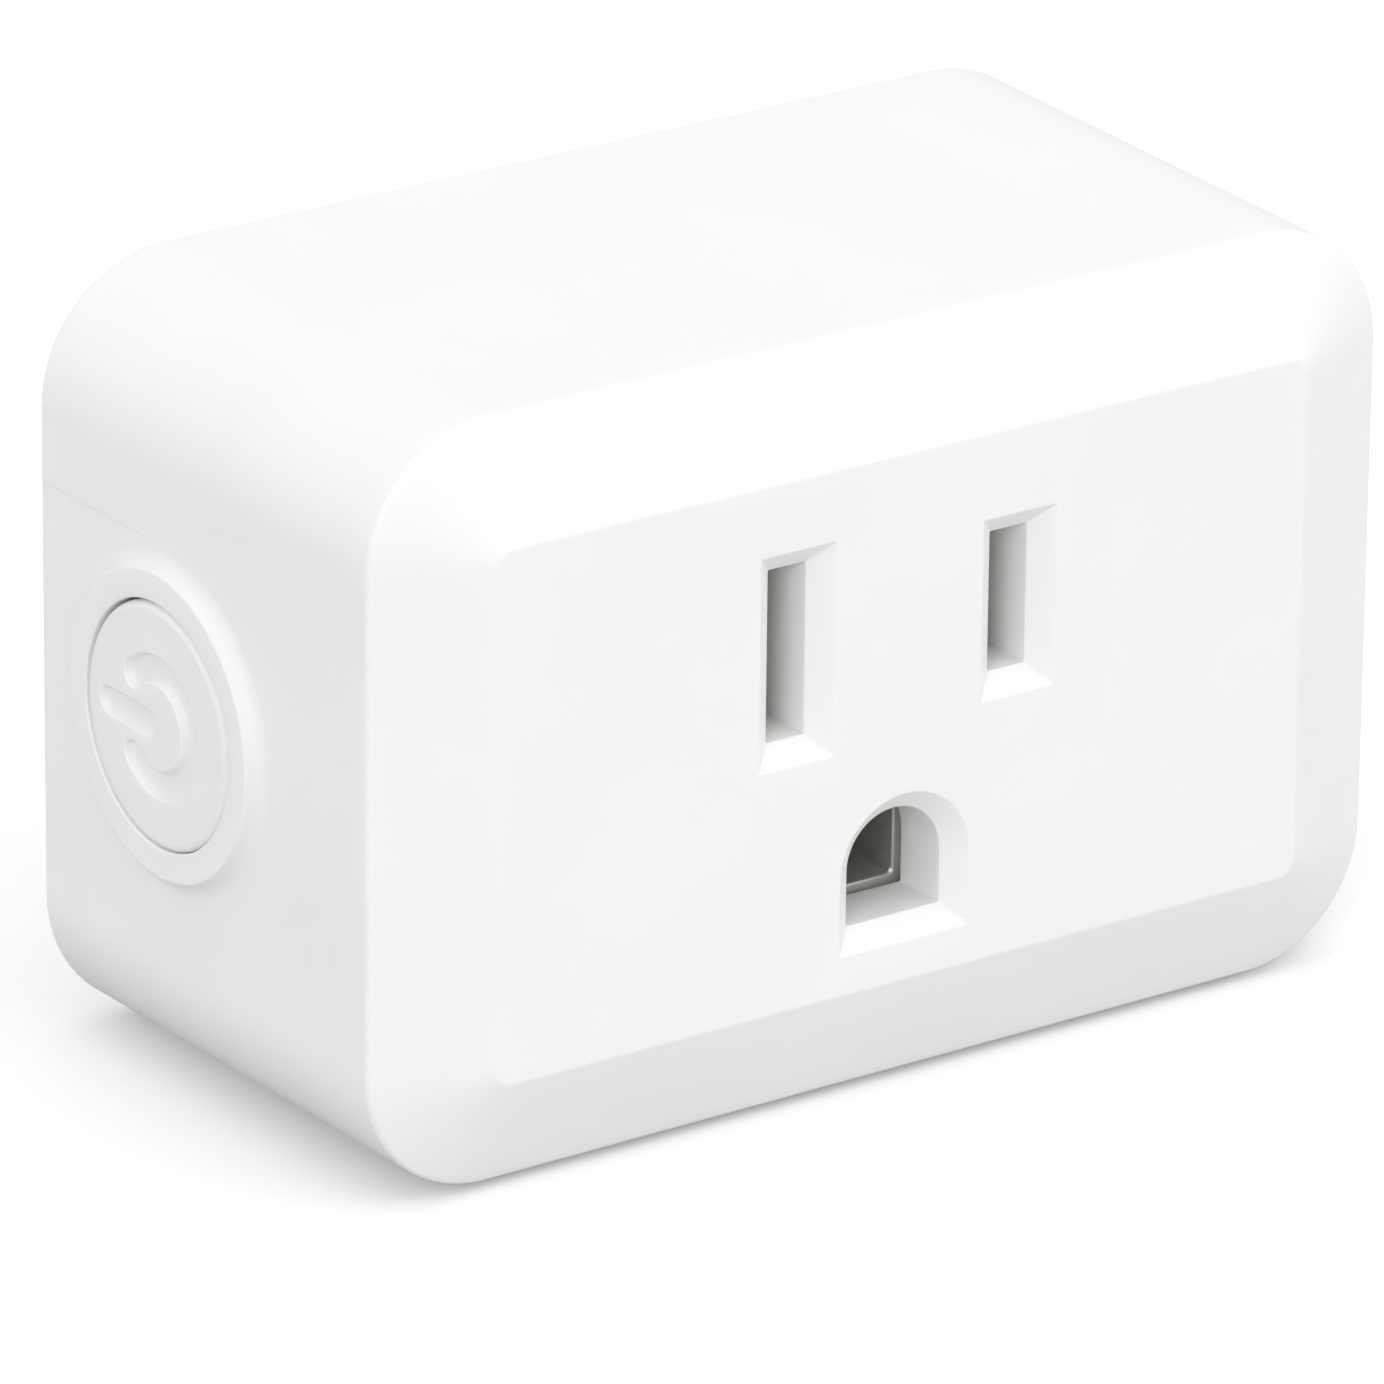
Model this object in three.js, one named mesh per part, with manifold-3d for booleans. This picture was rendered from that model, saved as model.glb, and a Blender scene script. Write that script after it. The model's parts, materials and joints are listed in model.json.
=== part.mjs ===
// A plug-in smart plug for a three-pin North American outlet, in millimetres.
//
// Frame: the origin is the point midway between the two flat blades, in the plane that meets the wall
// outlet. +X is to the right for someone facing the plug's own outlet, +Y runs into the wall, +Z is up.
// The outlet face therefore looks along -Y, and the round push-button sits on the -X side.

import * as THREE from "three";
import { mergeVertices } from "three/addons/utils/BufferGeometryUtils.js";
import Module from "manifold-3d";

const wasm = await Module();
wasm.setup();

// ---------------------------------------------------------------- driving dimensions

// Outlet standard: spacing of the flat blades, drop of the round ground pin, and the blades themselves
const BLADE_SPACING = 12.7;
const GROUND_DROP = 11.9;
const BLADE_THICKNESS = 1.5;
const LINE_BLADE_HEIGHT = 6.35;
const NEUTRAL_BLADE_HEIGHT = 7.94;
const BLADE_LENGTH = 17.5;
const BLADE_HOLE_RADIUS = 1.6;
const BLADE_HOLE_FROM_TIP = 5.6;
const PIN_RADIUS = 2.4;
const PIN_LENGTH = 20.8;

// Housing: the front section is the smaller one, and every side grows by the draft on its way back
const BODY_WIDTH = 57.6;
const BODY_HEIGHT = 37.9;
const SIDE_DEPTH = 27.15;
const DRAFT = 0.36;
const CORNER_RADIUS = 6.6;
const BEVEL_WIDTH = 5.7;
const BEVEL_DEPTH = 2.2;
const OUTLET_RAISE = 4.4;
const WALL = 2.0;
const FACE_WALL = 2.2;
const OUTLET_WALL = 4.0;

// Openings of the outlet, inside their chamfers: how much larger they are than the blades and pin they take
const SLOT_WIDER = 0.65;
const SLOT_TALLER = 0.68;
const GROUND_OPENING_WIDER = 0.28;
const GROUND_OPENING_DEEPER = 0.34;
const OPENING_CHAMFER = 1.05;
const CHAMFER_DEPTH = 0.95;

// Push-button and the raised ring round it
const BUTTON_RADIUS = 6.0;
const BUTTON_GAP = 0.12;
const BUTTON_TRAVEL = 0.5;
const BUTTON_FROM_REAR_EDGE = 10.8;
const RING_WIDTH = 1.5;
const RING_RISE = 0.7;
const RING_FLARE = 0.85;
const GUIDE_LENGTH = 1.0;
const BUTTON_FACE_THICKNESS = 1.5;
const BUTTON_SKIRT = 1.0;
const BUTTON_FLANGE = 0.9;
const BUTTON_FLANGE_THICKNESS = 0.8;
const STEM_RADIUS = 1.9;
const STEM_LENGTH = 0.5;
const SYMBOL_RADIUS = 2.85;
const SYMBOL_STROKE = 1.25;
const SYMBOL_BAR_END = 4.1;
const SYMBOL_DEPTH = 0.4;
const SYMBOL_GAP_DEG = 45;

// Tactile switch behind the button
const SWITCH_SIZE = 6.0;
const SWITCH_HEIGHT = 3.0;
const SWITCH_PLATE = 0.3;
const PLUNGER_RADIUS = 1.7;
const PLUNGER_REACH = 1.1;
const PLUNGER_FLANGE = 0.45;
const PLUNGER_FLANGE_THICKNESS = 0.6;
const LED_ABOVE_SWITCH = 1.6;
const LED_HALF_WIDTH = 0.8;

// Back cover, its screws and the posts they go into
const COVER_PROUD = 1.2;
const COVER_THICKNESS = 2.4;
const COVER_CHAMFER = 0.6;
const COVER_GAP = 0.12;
const POST_RADIUS = 3.4;
const POST_MERGE = 0.4;
const SCREW_HEAD_RADIUS = 1.7;
const SCREW_HEAD_HEIGHT = 1.05;
const SCREW_SHANK_RADIUS = 1.0;
const SCREW_LENGTH = 8.0;
const SCREW_RECESS = 1.3;

// Boards
const BOARD_THICKNESS = 1.6;
const BOARD_TO_COVER = 4.0;
const BOARD_EDGE_GAP = 0.4;
const CONTROL_BOARD_THICKNESS = 1.2;
const CONTROL_BOARD_HEIGHT = 20.0;
const HEADER_PINS = 5;
const HEADER_PITCH = 2.54;
const RIB_WIDTH = 1.2;
const RIB_HEIGHT = 1.5;
const RIB_FROM_POST = 1.6;
const PEG_RADIUS = 1.0;
const LEAD_RADIUS = 0.35;
const LEAD_PAST_BOARD = 1.0;

// Outlet contacts and the carrier that holds them
const SHEET = 0.7;
const CONTACT_HEIGHT = 7.0;
const CONTACT_HALF_WIDTH = 2.2;
const CONTACT_PINCH = 0.6;
const CONTACT_MOUTH = 1.3;
const LEAF_TO_PINCH = 5.5;
const LEAF_INSIDE_OPENING = 0.2;
const LEAF_GRIP = 0.1;
const STRAP_MARGIN = 1.2;
const POCKET_HALF_WIDTH = 2.6;
const POCKET_OVER_SLOT = 0.2;
const CARRIER_WALL = 0.75;
const CARRIER_REAR_WALL = 1.2;
const TAB_HEIGHT = 2.0;
const TAB_OFFSET = 2.15;
const BAR_THICKNESS = 0.6;
const BAR_MARGIN = 0.9;
const BAR_INNER_MARGIN = 0.6;

// Relay
const RELAY_HEADROOM = 2.95;
const RELAY_WALL = 0.7;
const RELAY_END_CLEARANCE = 0.5;
const RELAY_BASE = 1.8;
const YOKE_THICKNESS = 1.2;
const CORE_RADIUS = 2.0;
const CONTACT_ZONE = 4.8;
const SPRING_HEADROOM = 0.6;
const ARMATURE_THICKNESS = 1.0;
const SPRING_THICKNESS = 0.3;
const CORE_GAP = 0.55;
const RELAY_CONTACT_RADIUS = 1.2;
const RELAY_CONTACT_GAP = 0.8;

// Clearances: FIT is left between pieces that rest on each other, ROOM between pieces that only neighbour
const FIT = 0.05;
const ROOM = 0.4;
const HOLE_FIT = 0.1;

// ---------------------------------------------------------------- places that follow from them

const CENTRE_Z = -OUTLET_RAISE;
const REAR_EDGE_Y = -COVER_PROUD;
const EDGE_Y = REAR_EDGE_Y - SIDE_DEPTH;
const FACE_Y = EDGE_Y - BEVEL_DEPTH;
const INNER_FACE_Y = FACE_Y + FACE_WALL;
const OUTLET_BACK_Y = FACE_Y + OUTLET_WALL;
const INNER_X = BODY_WIDTH / 2 - WALL;
const INNER_Z = BODY_HEIGHT / 2 - WALL;
const INNER_RADIUS = CORNER_RADIUS - WALL;
const CEILING_Z = CENTRE_Z + INNER_Z;
const FLOOR_Z = CENTRE_Z - INNER_Z;
const COVER_INNER_Y = -COVER_THICKNESS;
const BOARD_REAR_Y = COVER_INNER_Y - BOARD_TO_COVER;
const BOARD_FRONT_Y = BOARD_REAR_Y - BOARD_THICKNESS;
const GROUND_Z = -GROUND_DROP;
const LINE_X = BLADE_SPACING / 2;
const NEUTRAL_X = -LINE_X;
const SLOT_WIDTH = BLADE_THICKNESS + SLOT_WIDER;
const LINE_SLOT_HEIGHT = LINE_BLADE_HEIGHT + SLOT_TALLER;
const NEUTRAL_SLOT_HEIGHT = NEUTRAL_BLADE_HEIGHT + SLOT_TALLER;
const GROUND_OPENING_RADIUS = PIN_RADIUS + GROUND_OPENING_WIDER;
const GROUND_OPENING_FLAT = PIN_RADIUS + GROUND_OPENING_DEEPER;

// The carrier's outline is also the outline of the thick pad of the housing in front of it
const POCKET_HALF_HEIGHT = NEUTRAL_SLOT_HEIGHT / 2 + POCKET_OVER_SLOT;
const GROUND_POCKET = GROUND_OPENING_RADIUS + SHEET;
const CARRIER_X = LINE_X + POCKET_HALF_WIDTH + CARRIER_WALL;
const CARRIER_TOP_Z = POCKET_HALF_HEIGHT + 2 * CARRIER_WALL;
const CARRIER_BOTTOM_Z = GROUND_Z - GROUND_POCKET - 2 * CARRIER_WALL;
const CARRIER_FRONT_Y = OUTLET_BACK_Y + FIT;
const CARRIER_REAR_Y = BOARD_FRONT_Y - FIT;

// A corner post leans into the rounded inner corner far enough to stay merged with it at the rear edge too
const POST_REACH = (INNER_RADIUS + DRAFT + POST_MERGE - POST_RADIUS) * Math.SQRT1_2;
const POST_X = INNER_X - INNER_RADIUS + POST_REACH;
const POST_DZ = INNER_Z - INNER_RADIUS + POST_REACH;
const CORNERS = [
  [-1, 1],
  [1, 1],
  [1, -1],
  [-1, -1],
];

// How much a side has grown by draft at a depth y
const grown = (y) => (DRAFT * (y - EDGE_Y)) / SIDE_DEPTH;

const BUTTON_Y = REAR_EDGE_Y - BUTTON_FROM_REAR_EDGE;
const BUTTON_Z = CENTRE_Z;
const SIDE_X = -(BODY_WIDTH / 2 + grown(BUTTON_Y));
const RING_X = SIDE_X - RING_RISE;
const GUIDE_END_X = SIDE_X + WALL + GUIDE_LENGTH;
const FLANGE_X = GUIDE_END_X + HOLE_FIT;
const STEM_END_X = FLANGE_X + BUTTON_FLANGE_THICKNESS + STEM_LENGTH;
const PLUNGER_X = STEM_END_X + FIT;
const SWITCH_TOP_X = PLUNGER_X + PLUNGER_REACH;
const SWITCH_BOTTOM_X = SWITCH_TOP_X + SWITCH_PLATE + SWITCH_HEIGHT;
const CONTROL_X = SWITCH_BOTTOM_X + FIT;
const CONTROL_BACK_X = CONTROL_X + CONTROL_BOARD_THICKNESS;

// ---------------------------------------------------------------- finishes

const finish = (color, roughness, metalness = 0) =>
  new THREE.MeshStandardMaterial({ color, roughness, metalness });

const WHITE = finish(0xf2f2f1, 0.5);
const WHITE_COVER = finish(0xeeeeed, 0.55);
const WHITE_CAP = finish(0xf1f1f0, 0.42);
const NICKEL = finish(0xc9c7c1, 0.28, 1);
const BRASS = finish(0xc7a45c, 0.35, 1);
const COPPER = finish(0xc2754f, 0.35, 1);
const STEEL = finish(0x9c9ea1, 0.35, 1);
const TIN = finish(0xc4c7ca, 0.3, 1);
const BLACK = finish(0x202123, 0.5);
const CARRIER_GREY = finish(0x8f9295, 0.6);
const BOARD_GREEN = finish(0x1f5b3a, 0.45);
const BOARD_BLUE = finish(0x1d3f6e, 0.4);
const RELAY_BLUE = finish(0x2c5f9e, 0.45);
const RELAY_BASE_BLUE = finish(0x244e82, 0.5);
const WINDING = finish(0x9c4a24, 0.4);
const SLEEVE_BLACK = finish(0x2a2a33, 0.4);
const VARISTOR_BLUE = finish(0x2f6fb1, 0.55);
const FUSE_GREEN = finish(0x5f8f6e, 0.55);
const LED_CLEAR = finish(0xe8e4cf, 0.25);

// ---------------------------------------------------------------- solids

// A closed geometry as a manifold solid
function solid(geometry) {
  const plain = geometry.index ? geometry.toNonIndexed() : geometry.clone();
  for (const name of Object.keys(plain.attributes)) if (name !== "position") plain.deleteAttribute(name);
  const merged = mergeVertices(plain, 1e-4);
  const corners = merged.index.array;
  const triangles = [];
  for (let i = 0; i < corners.length; i += 3) {
    const [a, b, c] = [corners[i], corners[i + 1], corners[i + 2]];
    if (a !== b && b !== c && c !== a) triangles.push(a, b, c);
  }
  return new wasm.Manifold(
    new wasm.Mesh({
      numProp: 3,
      vertProperties: merged.attributes.position.array,
      triVerts: new Uint32Array(triangles),
    }),
  );
}

// A manifold solid back as a geometry
function geometryOf(made) {
  const mesh = made.getMesh();
  const points = new Float32Array(mesh.numVert * 3);
  for (let i = 0; i < mesh.numVert; i++)
    points.set(mesh.vertProperties.subarray(i * mesh.numProp, i * mesh.numProp + 3), i * 3);
  const geometry = new THREE.BufferGeometry();
  geometry.setAttribute("position", new THREE.BufferAttribute(points, 3));
  geometry.setIndex(new THREE.BufferAttribute(new Uint32Array(mesh.triVerts), 1));
  geometry.computeVertexNormals();
  return geometry;
}

const joined = (first, ...others) => others.reduce((whole, other) => whole.add(other), first);
const cut = (from, ...tools) => tools.reduce((left, tool) => left.subtract(tool), from);

// A block between two opposite corners
function block([x0, y0, z0], [x1, y1, z1]) {
  const geometry = new THREE.BoxGeometry(Math.abs(x1 - x0), Math.abs(y1 - y0), Math.abs(z1 - z0));
  return solid(geometry.translate((x0 + x1) / 2, (y0 + y1) / 2, (z0 + z1) / 2));
}

// A round rod along the y or x axis
function rodY(radius, y0, y1, x, z, sides = 24) {
  const geometry = new THREE.CylinderGeometry(radius, radius, Math.abs(y1 - y0), sides);
  return solid(geometry.translate(x, (y0 + y1) / 2, z));
}
function rodX(radius, x0, x1, y, z, sides = 24) {
  const geometry = new THREE.CylinderGeometry(radius, radius, Math.abs(x1 - x0), sides);
  return solid(geometry.rotateZ(Math.PI / 2).translate((x0 + x1) / 2, y, z));
}
function rodZ(radius, z0, z1, x, y, sides = 24) {
  const geometry = new THREE.CylinderGeometry(radius, radius, Math.abs(z1 - z0), sides);
  return solid(geometry.rotateX(Math.PI / 2).translate(x, y, (z0 + z1) / 2));
}

// A body turned about a line along x through (y, z); the profile is [x, radius] pairs that start and end on it
function turnedX(profile, y, z, segments = 48) {
  const points = profile.map(([x, radius]) => new THREE.Vector2(radius, x));
  return solid(new THREE.LatheGeometry(points, segments).rotateZ(-Math.PI / 2).translate(0, y, z));
}
// The same about a line along y through (x, z); the profile is [y, radius] pairs
function turnedY(profile, x, z, segments = 32) {
  const points = profile.map(([y, radius]) => new THREE.Vector2(radius, y));
  return solid(new THREE.LatheGeometry(points, segments).translate(x, 0, z));
}

// A flat outline pushed along an axis: [x, z] points along y, [y, z] points along x, [x, y] points along z
const AXIS_BASES = {
  x: [new THREE.Vector3(0, 1, 0), new THREE.Vector3(0, 0, 1), new THREE.Vector3(1, 0, 0)],
  y: [new THREE.Vector3(1, 0, 0), new THREE.Vector3(0, 0, 1), new THREE.Vector3(0, -1, 0)],
  z: [new THREE.Vector3(1, 0, 0), new THREE.Vector3(0, 1, 0), new THREE.Vector3(0, 0, 1)],
};
function prism(outline, axis, low, high) {
  const isShape = outline instanceof THREE.Shape;
  const shape = isShape ? outline : new THREE.Shape(outline.map(([u, v]) => new THREE.Vector2(u, v)));
  const settings = { depth: high - low, bevelEnabled: false, curveSegments: 10 };
  const geometry = new THREE.ExtrudeGeometry(shape, settings);
  const start = axis === "y" ? -high : low;
  geometry.translate(0, 0, start);
  return solid(geometry.applyMatrix4(new THREE.Matrix4().makeBasis(...AXIS_BASES[axis])));
}

// A convex body through outlines of equal length, each { y, outline }: [x, z] points anticlockwise seen from -Y
function loft(rings) {
  const count = rings[0].outline.length;
  const points = rings.flatMap(({ y, outline }) => outline.map(([x, z]) => [x, y, z]));
  const middle = ({ y, outline }) => [
    outline.reduce((sum, [x]) => sum + x, 0) / count,
    y,
    outline.reduce((sum, [, z]) => sum + z, 0) / count,
  ];
  const front = points.push(middle(rings[0])) - 1;
  const back = points.push(middle(rings.at(-1))) - 1;
  const last = (rings.length - 1) * count;
  const faces = [];
  for (let j = 0; j < count; j++) {
    const next = (j + 1) % count;
    faces.push([front, j, next], [back, last + next, last + j]);
    for (let i = 0; i < last; i += count) {
      faces.push([i + j, i + count + j, i + next], [i + next, i + count + j, i + count + next]);
    }
  }
  const geometry = new THREE.BufferGeometry();
  geometry.setAttribute("position", new THREE.Float32BufferAttribute(points.flat(), 3));
  geometry.setIndex(faces.flat());
  return solid(geometry);
}

// Points of a rounded rectangle about the housing's centre line
function roundedOutline(halfWidth, halfHeight, radius, segments = 10) {
  return CORNERS.slice()
    .sort(([ax, az], [bx, bz]) => Math.atan2(az, ax) - Math.atan2(bz, bx))
    .flatMap(([sx, sz]) => {
      const start = Math.atan2(sz, sx) - Math.PI / 4;
      return Array.from({ length: segments + 1 }, (_, k) => {
        const angle = start + (k / segments) * (Math.PI / 2);
        return [
          sx * (halfWidth - radius) + radius * Math.cos(angle),
          CENTRE_Z + sz * (halfHeight - radius) + radius * Math.sin(angle),
        ];
      });
    });
}

// The housing's section at depth y, moved inwards by an inset
function section(y, inset = 0) {
  const growth = grown(y) - inset;
  return roundedOutline(BODY_WIDTH / 2 + growth, BODY_HEIGHT / 2 + growth, CORNER_RADIUS + growth);
}

// Outlines of the three outlet openings, each grown by an offset
const slotOutline = (x, height, offset) => {
  const [w, h] = [SLOT_WIDTH / 2 + offset, height / 2 + offset];
  return [
    [x - w, -h],
    [x + w, -h],
    [x + w, h],
    [x - w, h],
  ];
};
const groundOutline = (offset, segments = 16) => {
  const radius = GROUND_OPENING_RADIUS + offset;
  const floor = GROUND_Z - GROUND_OPENING_FLAT - offset;
  const arch = Array.from({ length: segments + 1 }, (_, k) => {
    const angle = (k / segments) * Math.PI;
    return [radius * Math.cos(angle), GROUND_Z + radius * Math.sin(angle)];
  });
  return [[-radius, floor], [radius, floor], ...arch];
};
// A chamfered opening through the face and its pad
function opening(outlineAt) {
  const over = 0.5;
  return loft([
    { y: FACE_Y - over, outline: outlineAt(OPENING_CHAMFER * (1 + over / CHAMFER_DEPTH)) },
    { y: FACE_Y + CHAMFER_DEPTH, outline: outlineAt(0) },
    { y: OUTLET_BACK_Y + over, outline: outlineAt(0) },
  ]);
}

// ---------------------------------------------------------------- the assembly

const group = new THREE.Group();
group.name = "smart_plug";

function place(name, made, material) {
  const mesh = new THREE.Mesh(geometryOf(made), material);
  mesh.name = name;
  group.add(mesh);
}

// ---- front housing: bevelled face, drafted sides, outlet pad, button ring, screw posts and board ribs

const postCentres = CORNERS.map(([sx, sz]) => [sx * POST_X, CENTRE_Z + sz * POST_DZ]);
const ribCentres = CORNERS.map(([sx, sz]) => [
  sx * (POST_X - POST_RADIUS - RIB_FROM_POST),
  CENTRE_Z + sz * (INNER_Z - RIB_HEIGHT / 2),
]);
const PEG_TOP_Z = FLOOR_Z + 1.5 * RIB_HEIGHT + PEG_RADIUS;
const HOLE_RADIUS = BUTTON_RADIUS + BUTTON_GAP;
const RING_RADIUS = HOLE_RADIUS + RING_WIDTH;

function frontHousing() {
  const over = 1;
  const outer = loft([
    { y: FACE_Y, outline: section(EDGE_Y, BEVEL_WIDTH) },
    { y: EDGE_Y, outline: section(EDGE_Y) },
    { y: REAR_EDGE_Y, outline: section(REAR_EDGE_Y) },
  ]);
  const cavity = loft([
    { y: INNER_FACE_Y, outline: section(EDGE_Y, BEVEL_WIDTH) },
    { y: EDGE_Y + BEVEL_DEPTH, outline: section(EDGE_Y + BEVEL_DEPTH, WALL) },
    { y: REAR_EDGE_Y + over, outline: section(REAR_EDGE_Y + over, WALL) },
  ]);
  const inside = joined(
    block([-CARRIER_X, INNER_FACE_Y - over, CARRIER_BOTTOM_Z], [CARRIER_X, OUTLET_BACK_Y, CARRIER_TOP_Z]),
    ...postCentres.map(([x, z]) => rodY(POST_RADIUS, EDGE_Y, COVER_INNER_Y - FIT, x, z)),
    ...ribCentres.map(([x, z]) => {
      const side = Math.sign(z - CENTRE_Z);
      return block(
        [x - RIB_WIDTH / 2, EDGE_Y, z - (side * RIB_HEIGHT) / 2],
        [x + RIB_WIDTH / 2, BOARD_FRONT_Y - FIT, z + (side * (RIB_HEIGHT + WALL)) / 2],
      );
    }),
    rodX(RING_RADIUS, SIDE_X + WALL / 2, GUIDE_END_X, BUTTON_Y, BUTTON_Z, 48),
  );
  const flareSteps = 5;
  const flare = Array.from({ length: flareSteps + 1 }, (_, k) => {
    const turn = (k / flareSteps) * (Math.PI / 2);
    return [SIDE_X - RING_RISE * (1 - Math.sin(turn)), RING_RADIUS + RING_FLARE * (1 - Math.cos(turn))];
  });
  const ring = turnedX(
    [[RING_X, 0], ...flare, [SIDE_X + WALL / 2, RING_RADIUS + RING_FLARE], [SIDE_X + WALL / 2, 0]],
    BUTTON_Y,
    BUTTON_Z,
  );
  const pilots = postCentres.map(([x, z]) =>
    rodY(SCREW_SHANK_RADIUS + HOLE_FIT, COVER_INNER_Y - SCREW_LENGTH - over, over, x, z),
  );
  return cut(
    joined(cut(outer, cavity), inside.intersect(outer), ring),
    rodX(HOLE_RADIUS, RING_X - over, GUIDE_END_X + over, BUTTON_Y, BUTTON_Z, 48),
    opening((offset) => slotOutline(LINE_X, LINE_SLOT_HEIGHT, offset)),
    opening((offset) => slotOutline(NEUTRAL_X, NEUTRAL_SLOT_HEIGHT, offset)),
    opening((offset) => groundOutline(offset)),
    ...pilots,
  );
}
place("front_housing", frontHousing(), WHITE);

// ---- back cover: a plate let into the rear of the housing, with slots for the blades and screw recesses

function backCover() {
  const edge = (inset) => section(REAR_EDGE_Y, WALL + COVER_GAP + inset);
  const plate = loft([
    { y: COVER_INNER_Y, outline: edge(0) },
    { y: -COVER_CHAMFER, outline: edge(0) },
    { y: 0, outline: edge(COVER_CHAMFER) },
  ]);
  const pegs = ribCentres.map(([x, z]) =>
    rodY(PEG_RADIUS, BOARD_REAR_Y + FIT, COVER_INNER_Y + 1, x, z - RIB_HEIGHT * Math.sign(z - CENTRE_Z)),
  );
  const bladeSlot = (x, height) =>
    block(
      [x - BLADE_THICKNESS / 2 - HOLE_FIT, COVER_INNER_Y - 1, -height / 2 - HOLE_FIT],
      [x + BLADE_THICKNESS / 2 + HOLE_FIT, 1, height / 2 + HOLE_FIT],
    );
  return cut(
    joined(plate, ...pegs),
    bladeSlot(LINE_X, LINE_BLADE_HEIGHT),
    bladeSlot(NEUTRAL_X, NEUTRAL_BLADE_HEIGHT),
    rodY(PIN_RADIUS + HOLE_FIT, COVER_INNER_Y - 1, 1, 0, GROUND_Z),
    ...postCentres.flatMap(([x, z]) => [
      rodY(SCREW_SHANK_RADIUS + HOLE_FIT, COVER_INNER_Y - 1, 1, x, z),
      rodY(SCREW_HEAD_RADIUS + HOLE_FIT, -SCREW_RECESS, 1, x, z),
    ]),
  );
}
place("back_cover", backCover(), WHITE_COVER);

postCentres.forEach(([x, z], i) => {
  const seat = -SCREW_RECESS + FIT;
  const slotHalf = 0.25;
  const arm = SCREW_HEAD_RADIUS * 0.6;
  const head = rodY(SCREW_HEAD_RADIUS, seat, seat + SCREW_HEAD_HEIGHT, x, z);
  const shank = rodY(SCREW_SHANK_RADIUS, seat - SCREW_LENGTH, seat + 0.2, x, z, 16);
  const crossTop = seat + SCREW_HEAD_HEIGHT + 1;
  const cross = joined(
    block([x - arm, seat + 0.4, z - slotHalf], [x + arm, crossTop, z + slotHalf]),
    block([x - slotHalf, seat + 0.4, z - arm], [x + slotHalf, crossTop, z + arm]),
  );
  place(`cover_screw_${i + 1}`, cut(joined(head, shank), cross), STEEL);
});

// ---- wall blades and ground pin

function blade(x, height) {
  const half = height / 2;
  const tip = 1.6;
  const side = prism(
    [
      [0, -half],
      [BLADE_LENGTH - tip, -half],
      [BLADE_LENGTH, -half + tip],
      [BLADE_LENGTH, half - tip],
      [BLADE_LENGTH - tip, half],
      [0, half],
      [COVER_INNER_Y - FIT, half],
      [COVER_INNER_Y - FIT, half + SHEET],
      [COVER_INNER_Y - FIT - SHEET, half + SHEET],
      [COVER_INNER_Y - FIT - SHEET, -half - SHEET],
      [COVER_INNER_Y - FIT, -half - SHEET],
      [COVER_INNER_Y - FIT, -half],
    ],
    "x",
    x - BLADE_THICKNESS / 2,
    x + BLADE_THICKNESS / 2,
  );
  const tab = block(
    [x - SHEET, BOARD_FRONT_Y + FIT, -TAB_OFFSET - TAB_HEIGHT / 2],
    [x + SHEET, COVER_INNER_Y - FIT - SHEET / 2, -TAB_OFFSET + TAB_HEIGHT / 2],
  );
  const holeY = BLADE_LENGTH - BLADE_HOLE_FROM_TIP;
  const hole = rodX(BLADE_HOLE_RADIUS, x - BLADE_THICKNESS, x + BLADE_THICKNESS, holeY, 0);
  return cut(joined(side, tab), hole);
}
place("line_blade", blade(LINE_X, LINE_BLADE_HEIGHT), NICKEL);
place("neutral_blade", blade(NEUTRAL_X, NEUTRAL_BLADE_HEIGHT), NICKEL);

const PIN_FLANGE = 1.0;
const PIN_FLANGE_RADIUS = PIN_RADIUS + 1.1;
const STRAP_FRONT_Y = COVER_INNER_Y - FIT - PIN_FLANGE - 2 * FIT - SHEET;
const RIVET_RADIUS = 1.4;
function groundPin() {
  const nose = Array.from({ length: 7 }, (_, k) => {
    const turn = (k / 6) * (Math.PI / 2);
    return [PIN_LENGTH - PIN_RADIUS + PIN_RADIUS * Math.sin(turn), PIN_RADIUS * Math.cos(turn)];
  });
  nose[6][1] = 0;
  return turnedY(
    [
      [STRAP_FRONT_Y - ROOM, 0],
      [STRAP_FRONT_Y - ROOM, RIVET_RADIUS],
      [COVER_INNER_Y - FIT - PIN_FLANGE, RIVET_RADIUS],
      [COVER_INNER_Y - FIT - PIN_FLANGE, PIN_FLANGE_RADIUS],
      [COVER_INNER_Y - FIT, PIN_FLANGE_RADIUS],
      [COVER_INNER_Y - FIT, PIN_RADIUS],
      ...nose,
    ],
    0,
    GROUND_Z,
  );
}
place("ground_pin", groundPin(), NICKEL);

// ---- outlet contacts in their carrier

function bladeContact(x) {
  const front = CARRIER_FRONT_Y + ROOM;
  const base = CARRIER_REAR_Y - CARRIER_REAR_WALL - FIT;
  const pinch = front + LEAF_TO_PINCH;
  const arm = (side) =>
    prism(
      [
        [x + side * CONTACT_HALF_WIDTH, base],
        [x + side * (CONTACT_HALF_WIDTH - SHEET), base],
        [x + side * CONTACT_PINCH, pinch],
        [x + side * CONTACT_MOUTH, front],
        [x + side * (CONTACT_MOUTH + SHEET), front],
        [x + side * (CONTACT_PINCH + SHEET), pinch],
      ],
      "z",
      -CONTACT_HEIGHT / 2,
      CONTACT_HEIGHT / 2,
    );
  const back = block(
    [x - CONTACT_HALF_WIDTH, base - SHEET, -CONTACT_HEIGHT / 2],
    [x + CONTACT_HALF_WIDTH, base, CONTACT_HEIGHT / 2],
  );
  const tail = block(
    [x - SHEET / 2, base - SHEET / 2, TAB_OFFSET - TAB_HEIGHT / 2],
    [x + SHEET / 2, BOARD_REAR_Y + LEAD_PAST_BOARD, TAB_OFFSET + TAB_HEIGHT / 2],
  );
  return joined(arm(1), arm(-1), back, tail);
}
place("line_contact", bladeContact(LINE_X), BRASS);
place("neutral_contact", bladeContact(NEUTRAL_X), BRASS);

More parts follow.
